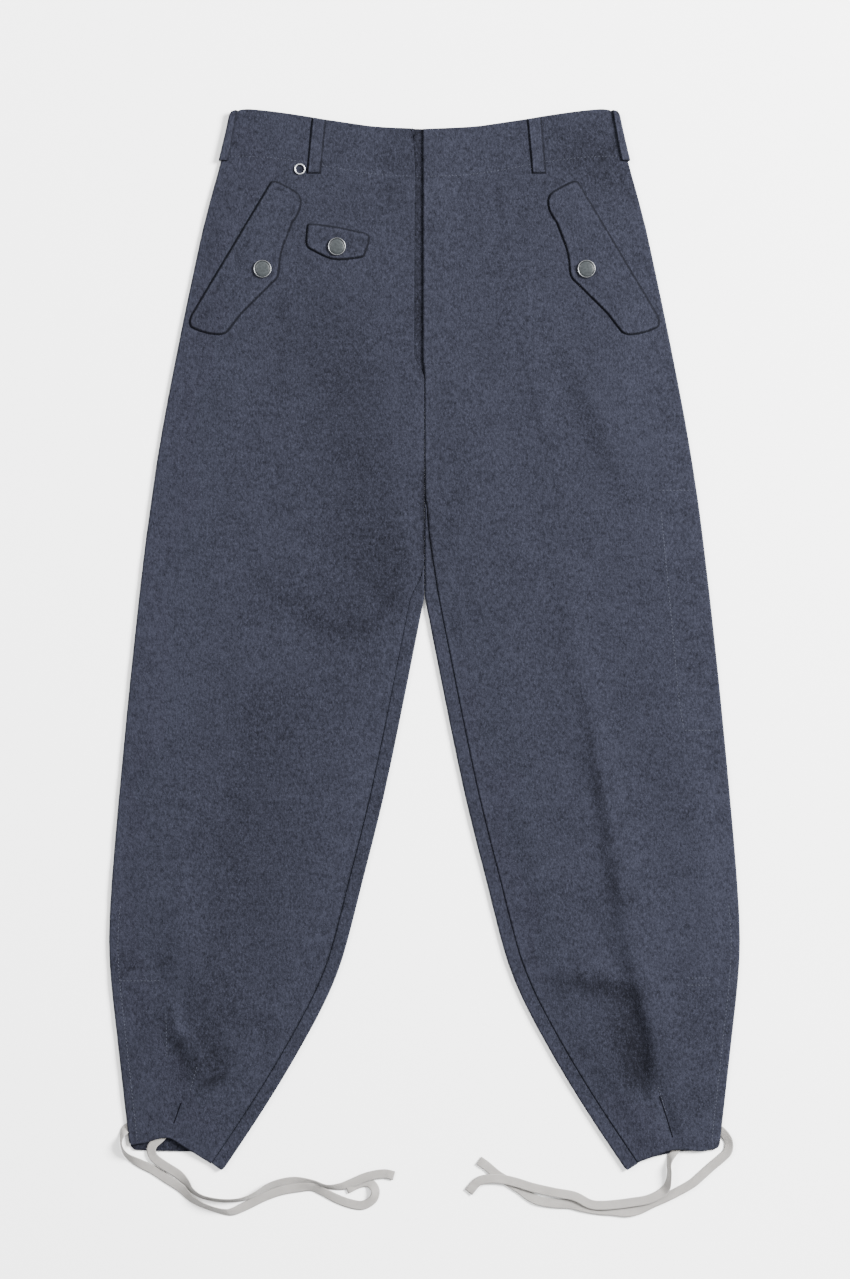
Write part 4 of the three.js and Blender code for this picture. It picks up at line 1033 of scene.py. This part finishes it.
# ---------------------------------------------------------------- pocket flaps
# Two layers of the cloth bagged out and turned, so the edge is full and round, with a faint dip where the
# seam allowance ends. They lie flat and throw a thin shadow all round, with an outer ring painted as that
# shadow, painted shade on the rolled edge and a painted highlight on its crest.

FLAP_ROLL = 0.0017
FLAP_WALL = 0.0013
FLAP_LIFT = 0.0011  # how high a flap lies above its front
FLAP_PLAY = 0.0003  # and how much higher it may be
FLAP_DIP = {"depth": 0.00025, "inset": 0.0072, "width": 0.0016}
FLAP_SHARES = [  # the rings of a flap, as shares of the way from its edge to its middle
    0, 0.006, 0.014, 0.024, 0.036, 0.052, 0.075, 0.105, 0.145, 0.2, 0.28, 0.38, 0.5, 0.64, 0.8, 0.92,
]
MIDDLE_HOLE = 0.012  # the last ring lies within this of the middle, and is closed with one face


def star_outline(plan, step=0.0008, blur=2):
    """The outline of a CAD node seen from above, as evenly spaced points round its middle."""
    centre = (plan.low[:2] + plan.high[:2]) / 2
    angles = np.linspace(0, 2 * math.pi, 720, endpoint=False)
    a, b = plan.starts[:, :2] - centre, plan.stops[:, :2] - centre
    radii = []
    for angle in angles:
        way = np.array([math.cos(angle), math.sin(angle)])
        side_a, side_b = a @ (-way[1], way[0]), b @ (-way[1], way[0])
        crossed = side_a * side_b < 0
        share = side_a[crossed] / (side_a[crossed] - side_b[crossed])
        radii.append(((a[crossed] @ way) * (1 - share) + (b[crossed] @ way) * share).max())
    line = np.stack([np.cos(angles), np.sin(angles)], axis=1) * np.array(radii)[:, None]
    closed = np.vstack([line, line[:1]])
    run = np.r_[0, np.cumsum(np.linalg.norm(np.diff(closed, axis=0), axis=1))]
    at = np.linspace(0, run[-1], round(run[-1] / step), endpoint=False)
    line = np.stack([np.interp(at, run, column) for column in closed.T], axis=1)
    for _ in range(blur):
        line = (np.roll(line, 1, axis=0) + 2 * line + np.roll(line, -1, axis=0)) / 4
    return centre, line


def from_outline(point, line):
    """Distance from a point to a closed line of points."""
    run = np.roll(line, -1, axis=0) - line
    share = np.clip(((point - line) * run).sum(axis=1) / (run * run).sum(axis=1), 0, 1)
    return np.linalg.norm(point - line - run * share[:, None], axis=1).min()


def make_flap(name, side):
    sign = SIDES[side]
    plan = Plan(name, sign)
    centre, line = star_outline(plan)
    ahead = np.roll(line, -1, axis=0) - np.roll(line, 1, axis=0)
    ahead /= np.linalg.norm(ahead, axis=1, keepdims=True)
    outward = np.stack([ahead[:, 1], -ahead[:, 0]], axis=1)
    rings = [line + outward * SHADOW_LIP] + [line * (1 - share) for share in FLAP_SHARES]
    at = np.stack(rings)
    inset = np.array([[from_outline(point, line) for point in ring] for ring in at])
    inset[:2] = 0
    at = np.concatenate([at, at[:, :1]], axis=1) + centre
    inset = np.concatenate([inset, inset[:, :1]], axis=1)
    x, y = at[..., 0], at[..., 1]
    under = fronts_at(x * sign, y)
    z = plan.height(step=0.003, blur=3)(x, y)
    z = np.clip(z, under + FLAP_LIFT, under + FLAP_LIFT + FLAP_PLAY)
    dip = FLAP_DIP["depth"] * hump(inset - FLAP_DIP["inset"], FLAP_DIP["width"])
    z -= rolled(inset, FLAP_ROLL) * 0.5 + dip
    # The outer ring goes down to the front, painted dark as the shadow under the flap.
    z[0] = under[0] + SHADOW_LIP_LIFT
    points = np.stack([x * sign, y, z], axis=2)
    # Painted shade on the rolled edge and a painted highlight on its crest.
    marks = {"painted_shade": hump(inset, 0.0009) * 1.5, "painted_light": hump(inset - 0.0022, 0.001) * 0.45}
    marks["painted_shade"][0] = LIP_SHADE
    piece = cloth_grid("cloth_" + name, points, turned=sign < 0, marks=marks)
    mesh = bmesh.new()
    mesh.from_mesh(piece.data)
    bmesh.ops.remove_doubles(mesh, verts=mesh.verts, dist=1e-6)
    middle = Vector((centre[0] * sign, centre[1]))
    loose = [edge for edge in mesh.edges if edge.is_boundary]
    hole = [edge for edge in loose if (edge.verts[0].co.xy - middle).length < MIDDLE_HOLE]
    bmesh.ops.contextual_create(mesh, geom=hole)
    mesh.to_mesh(piece.data)
    mesh.free()
    piece.data.shade_smooth()
    return woollen(piece, name, FLAP_WALL)


for side in SIDES:
    hip_flap = make_flap("flap_hip_" + side, side)
make_flap("flap_fob", "right")

# ---------------------------------------------------------------- snaps
# A domed cap on each flap: a disc of grey-green enamel, worn a little, in a bright nickel rim.

CAP_FACE = 0.0081  # radius of the enamel, and below of the whole cap
CAP_RIM = 0.00915
CAP_HEIGHT = 0.0024
CAP_SINK = 0.0002  # how far it is pressed into the flap
CAP_REACH = 0.005  # the flap's slope is taken this far from the cap's middle


def hard_material(name, dark, light, scratch, **constants):
    """Metal or enamel: two tones in soft clouds, and scratches of the given depth."""
    material, surface, start = new_material(name, **constants)
    place = place_on(start)
    cloud, grit = noise(place, 420, 4), noise(place, 2600, 2)
    plug(tinted(cloud.between(0.3, 0.7), dark, light), surface, "Base Color")
    plug(cloud * 0.16 + grit * 0.12 + 0.28, surface, "Roughness")
    relief(grit * 0.6 + cloud, surface, scratch)
    return material


ENAMEL = hard_material(
    "cap_enamel", (0.013, 0.0152, 0.0165), (0.021, 0.0243, 0.0262), 0.00005, Specular_IOR_Level=0.2
)
NICKEL = hard_material("nickel", (0.42, 0.43, 0.45), (0.62, 0.63, 0.66), 0.00003, Metallic=1)
SNAP_RIM = hard_material("snap_rim", (0.12, 0.125, 0.13), (0.17, 0.177, 0.185), 0.000004, Metallic=1)


def spun(name, profile, centre, axis=(0, 0, 1), steps=64, closed=False):
    """A turned piece: a profile of (radius, height) spun about an upright axis, then leaned to axis."""
    mesh = bmesh.new()
    corners = [mesh.verts.new((radius, 0, up)) for radius, up in profile]
    pairs = list(zip(corners, corners[1:] + corners[:1]))[: None if closed else -1]
    edges = [mesh.edges.new(pair) for pair in pairs]
    turn = {"cent": (0, 0, 0), "axis": (0, 0, 1), "angle": 2 * math.pi, "steps": steps}
    bmesh.ops.spin(mesh, geom=corners + edges, **turn)
    bmesh.ops.remove_doubles(mesh, verts=mesh.verts, dist=1e-6)
    bmesh.ops.recalc_face_normals(mesh, faces=mesh.faces)
    lean = Vector((0, 0, 1)).rotation_difference(Vector(axis)).to_matrix()
    bmesh.ops.rotate(mesh, verts=mesh.verts, cent=(0, 0, 0), matrix=lean)
    bmesh.ops.translate(mesh, verts=mesh.verts, vec=centre)
    return finished(name, mesh)


def arc(centre, radius, first, last, steps=6):
    """Points of an arc in a profile, from one angle to another in degrees."""
    angles = np.radians(np.linspace(first, last, steps))
    return [(centre[0] + radius * math.cos(a), centre[1] + radius * math.sin(a)) for a in angles]


def make_snap(name, flap):
    low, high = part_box(name)
    x, y, _ = (low + high) / 2
    left, right = (highest(x + reach, y, [flap]) for reach in (-CAP_REACH, CAP_REACH))
    near, far = (highest(x, y + reach, [flap]) for reach in (-CAP_REACH, CAP_REACH))
    axis = ((left - right) / (2 * CAP_REACH), (near - far) / (2 * CAP_REACH), 1)
    centre = (x, y, highest(x, y, [flap]) - CAP_SINK)
    bead = (CAP_RIM - CAP_FACE) / 2
    crown = (CAP_FACE + bead, CAP_HEIGHT - bead * 0.9)
    ring = [(CAP_RIM - 0.0006, 0.0), (CAP_RIM, 0.0006), *arc(crown, bead, 0, 180, 9), (CAP_FACE, 0.0004)]
    settle(spun(name + "_rim", ring, centre, axis), [name], SNAP_RIM)
    wall = CAP_FACE - 0.0001
    dome = [(wall, 0.0004), (wall, CAP_HEIGHT - 0.00105)]
    for share, down in [(0.92, 0.0007), (0.7, 0.0004), (0.35, 0.0002), (0, 0.00015)]:
        dome.append((CAP_FACE * share, CAP_HEIGHT - down))
    settle(spun(name + "_face", dome, centre, axis), [], ENAMEL)


for flap_name in ("hip_left", "hip_right", "fob"):
    make_snap("snap_" + flap_name, "flap_" + flap_name)

# ---------------------------------------------------------------- ring
# A small wire ring beside the right front loop. It swings in a tab of doubled thread.

RING_WIRE = 0.00065
RING_RADIUS = 0.005
TAB_INSIDE = 0.0015  # inner radius of the tab's loops
TAB_THREAD = 0.00042
TAB_STRANDS = 4
TAB_PITCH = 0.00075
TAB_TURN = 205


def thread_material(name, dark, light, gloss):
    material, surface, start = new_material(name, Roughness=0.8, Specular_IOR_Level=gloss)
    twist = noise(place_on(start), 1700, 2)
    plug(tinted(twist.between(0.3, 0.7), dark, light), surface, "Base Color")
    relief(twist, surface, 0.0002)
    return material


THREAD = thread_material("thread", (0.028, 0.031, 0.042), (0.055, 0.060, 0.075), 0.2)
# A near-black thread, for the painted shade along the darts' folds.
DART_SHADE_THREAD = thread_material("dart_shade_thread", (0.0012, 0.0012, 0.0022), (0.0024, 0.0024, 0.004), 0.02)

ring_low, ring_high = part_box("ring")
ring_centre = (ring_low + ring_high) / 2
wire_section = arc((RING_RADIUS, 0), RING_WIRE, 0, 330, 12)
ring = spun("wire_ring", wire_section, ring_centre, closed=True)
settle(ring, ["ring"], NICKEL, body="ring")


def make_ring_tab():
    low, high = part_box("ring_tab")
    middle = (low + high) / 2
    mesh = bmesh.new()
    for strand in range(TAB_STRANDS):
        y = middle.y + (strand - (TAB_STRANDS - 1) / 2) * TAB_PITCH
        foot = (middle.x + TAB_INSIDE + TAB_THREAD, ring_centre.z - 0.0009)
        section = [mesh.verts.new((x, y, z)) for x, z in arc(foot, TAB_THREAD, 0, 324, 10)]
        edges = [mesh.edges.new(pair) for pair in zip(section, section[1:] + section[:1])]
        spin = {"cent": (middle.x, y, ring_centre.z), "axis": (0, -1, 0), "steps": 14}
        bmesh.ops.spin(mesh, geom=section + edges, angle=math.radians(TAB_TURN), **spin)
    bmesh.ops.recalc_face_normals(mesh, faces=mesh.faces)
    settle(finished("thread_tab", mesh), ["ring_tab"], THREAD)


make_ring_tab()

# ---------------------------------------------------------------- stitching
# Machine stitches in a grey thread, sunk in the nap: the waistband, the hems' outer edges, the knee
# vents and their bars, the ankle darts and the folded ends of the tapes.

SINK = 0.00005  # how far a stitch's middle lies below the cloth's face
STITCH_REACH = 0.35  # a stitch leans as the cloth does between these shares of the pitch, both ways


def stitch_row(mesh, line, pitch, length, thickness, sink):
    """A row of stitches on the pieces below a line of (x, y) points."""
    path, _ = smooth_path([(x, y, 0) for x, y in line], pitch)
    for at, beyond in zip(path[:-1], path[1:]):
        middle = (at + beyond) / 2
        run = (beyond - at)[:2]
        ends = [highest(*(middle[:2] + run * share)) for share in (-STITCH_REACH, STITCH_REACH)]
        if None in ends:
            continue
        way = Vector((*run, (ends[1] - ends[0]) / (2 * STITCH_REACH))).normalized()
        turn = Vector((1, 0, 0)).rotation_difference(way).to_matrix().to_4x4()
        made = bmesh.ops.create_uvsphere(mesh, u_segments=6, v_segments=4, radius=0.5)["verts"]
        bmesh.ops.scale(mesh, verts=made, vec=(length, thickness, thickness * 0.8))
        bmesh.ops.transform(mesh, verts=made, matrix=turn)
        bmesh.ops.translate(mesh, verts=made, vec=(middle[0], middle[1], sum(ends) / 2 - sink))


def make_stitches(name, lines, pitch=0.0036, length=0.0026, thickness=0.00045, sink=SINK, thread=THREAD):
    mesh = bmesh.new()
    for line in lines:
        stitch_row(mesh, line, pitch, length, thickness, sink)
    settle(finished(name, mesh), [], thread)


def from_waist(side, points):
    """Points given as distance from the centre line and below the waist, in x and y."""
    return [(x * SIDES[side], TOP_Y - down) for x, down in points]


# Rows of stitches, as distance from the centre line and distance below the waist.
WAISTBAND = [
    (0.002, 0.0705), (0.04, 0.069), (0.08, 0.0635), (0.12, 0.056), (0.165, 0.0505), (0.207, 0.049),
]
HEM_TOPSTITCH = [
    (0.3135, 0.821), (0.316, 0.857), (0.3142, 0.898), (0.3075, 0.96), (0.2984, 1.042), (0.296, 1.064),
]
VENT = {
    "top": [(0.2405, 0.3935), (0.2807, 0.3935)],
    "side": [(0.2436, 0.416), (0.256, 0.5438), (0.2621, 0.6087), (0.2673, 0.6396)],
    "bottom": [(0.2673, 0.6407), (0.2982, 0.6407)],
}
BARS = {
    "left": [[(0.2704, 0.896), (0.2951, 0.896)], [(0.2704, 0.9033), (0.2951, 0.9033)]],
    "right": [[(0.2724, 0.899), (0.3147, 0.899)]],
}
# Near-black rows along the ankle darts' folds, painted as the shade in each fold.
DART_SHADE_LINES = {
    "left": [(0.242, 1.0176), (0.249, 1.038), (0.2557, 1.0599)],
    "right": [(0.2508, 1.0249), (0.258, 1.0455)],
}
DART_SHADE_STYLE = {"pitch": 0.002, "length": 0.0032, "thickness": 0.0011, "sink": -0.0001, "thread": DART_SHADE_THREAD}
TAPE_THREAD = {"pitch": 0.0014, "length": 0.001, "thickness": 0.0004}
TAPE_ROW = 6  # the row across a tape lies this many steps from its end
TAPE_ROW_REACH = 0.0042
WAIST_SINK = 0.00013
DARTS = {
    "left": [[(0.2405, 1.0073), (0.2487, 1.0341)]],
    "right": [[(0.2663, 0.932), (0.2652, 0.9785)], [(0.2343, 0.9867), (0.2415, 1.0125)]],
}

for side in SIDES:
    lines = [HEM_TOPSTITCH, *BARS[side], *DARTS[side]]
    make_stitches("stitches_" + side, [from_waist(side, line) for line in lines])
    make_stitches("stitches_waist_" + side, [from_waist(side, WAISTBAND)], sink=WAIST_SINK)
    # the shade in each dart's fold, painted as a near-black row
    make_stitches("dart_" + side, [from_waist(side, DART_SHADE_LINES[side])], **DART_SHADE_STYLE)
make_stitches("stitches_vent", [from_waist("left", line) for line in VENT.values()])

for tape_name, (tape_piece, tape_centre) in TAPE_PIECES.items():
    TOPS[tape_name] = surface_of(tape_piece)
    before, at = tape_centre[-TAPE_ROW - 1], tape_centre[-TAPE_ROW]
    across = np.array([before[1] - at[1], at[0] - before[0]]) / math.dist(before[:2], at[:2])
    ends = [at[:2] + across * reach for reach in (-TAPE_ROW_REACH, TAPE_ROW_REACH)]
    make_stitches("stitches_" + tape_name, [ends], **TAPE_THREAD)
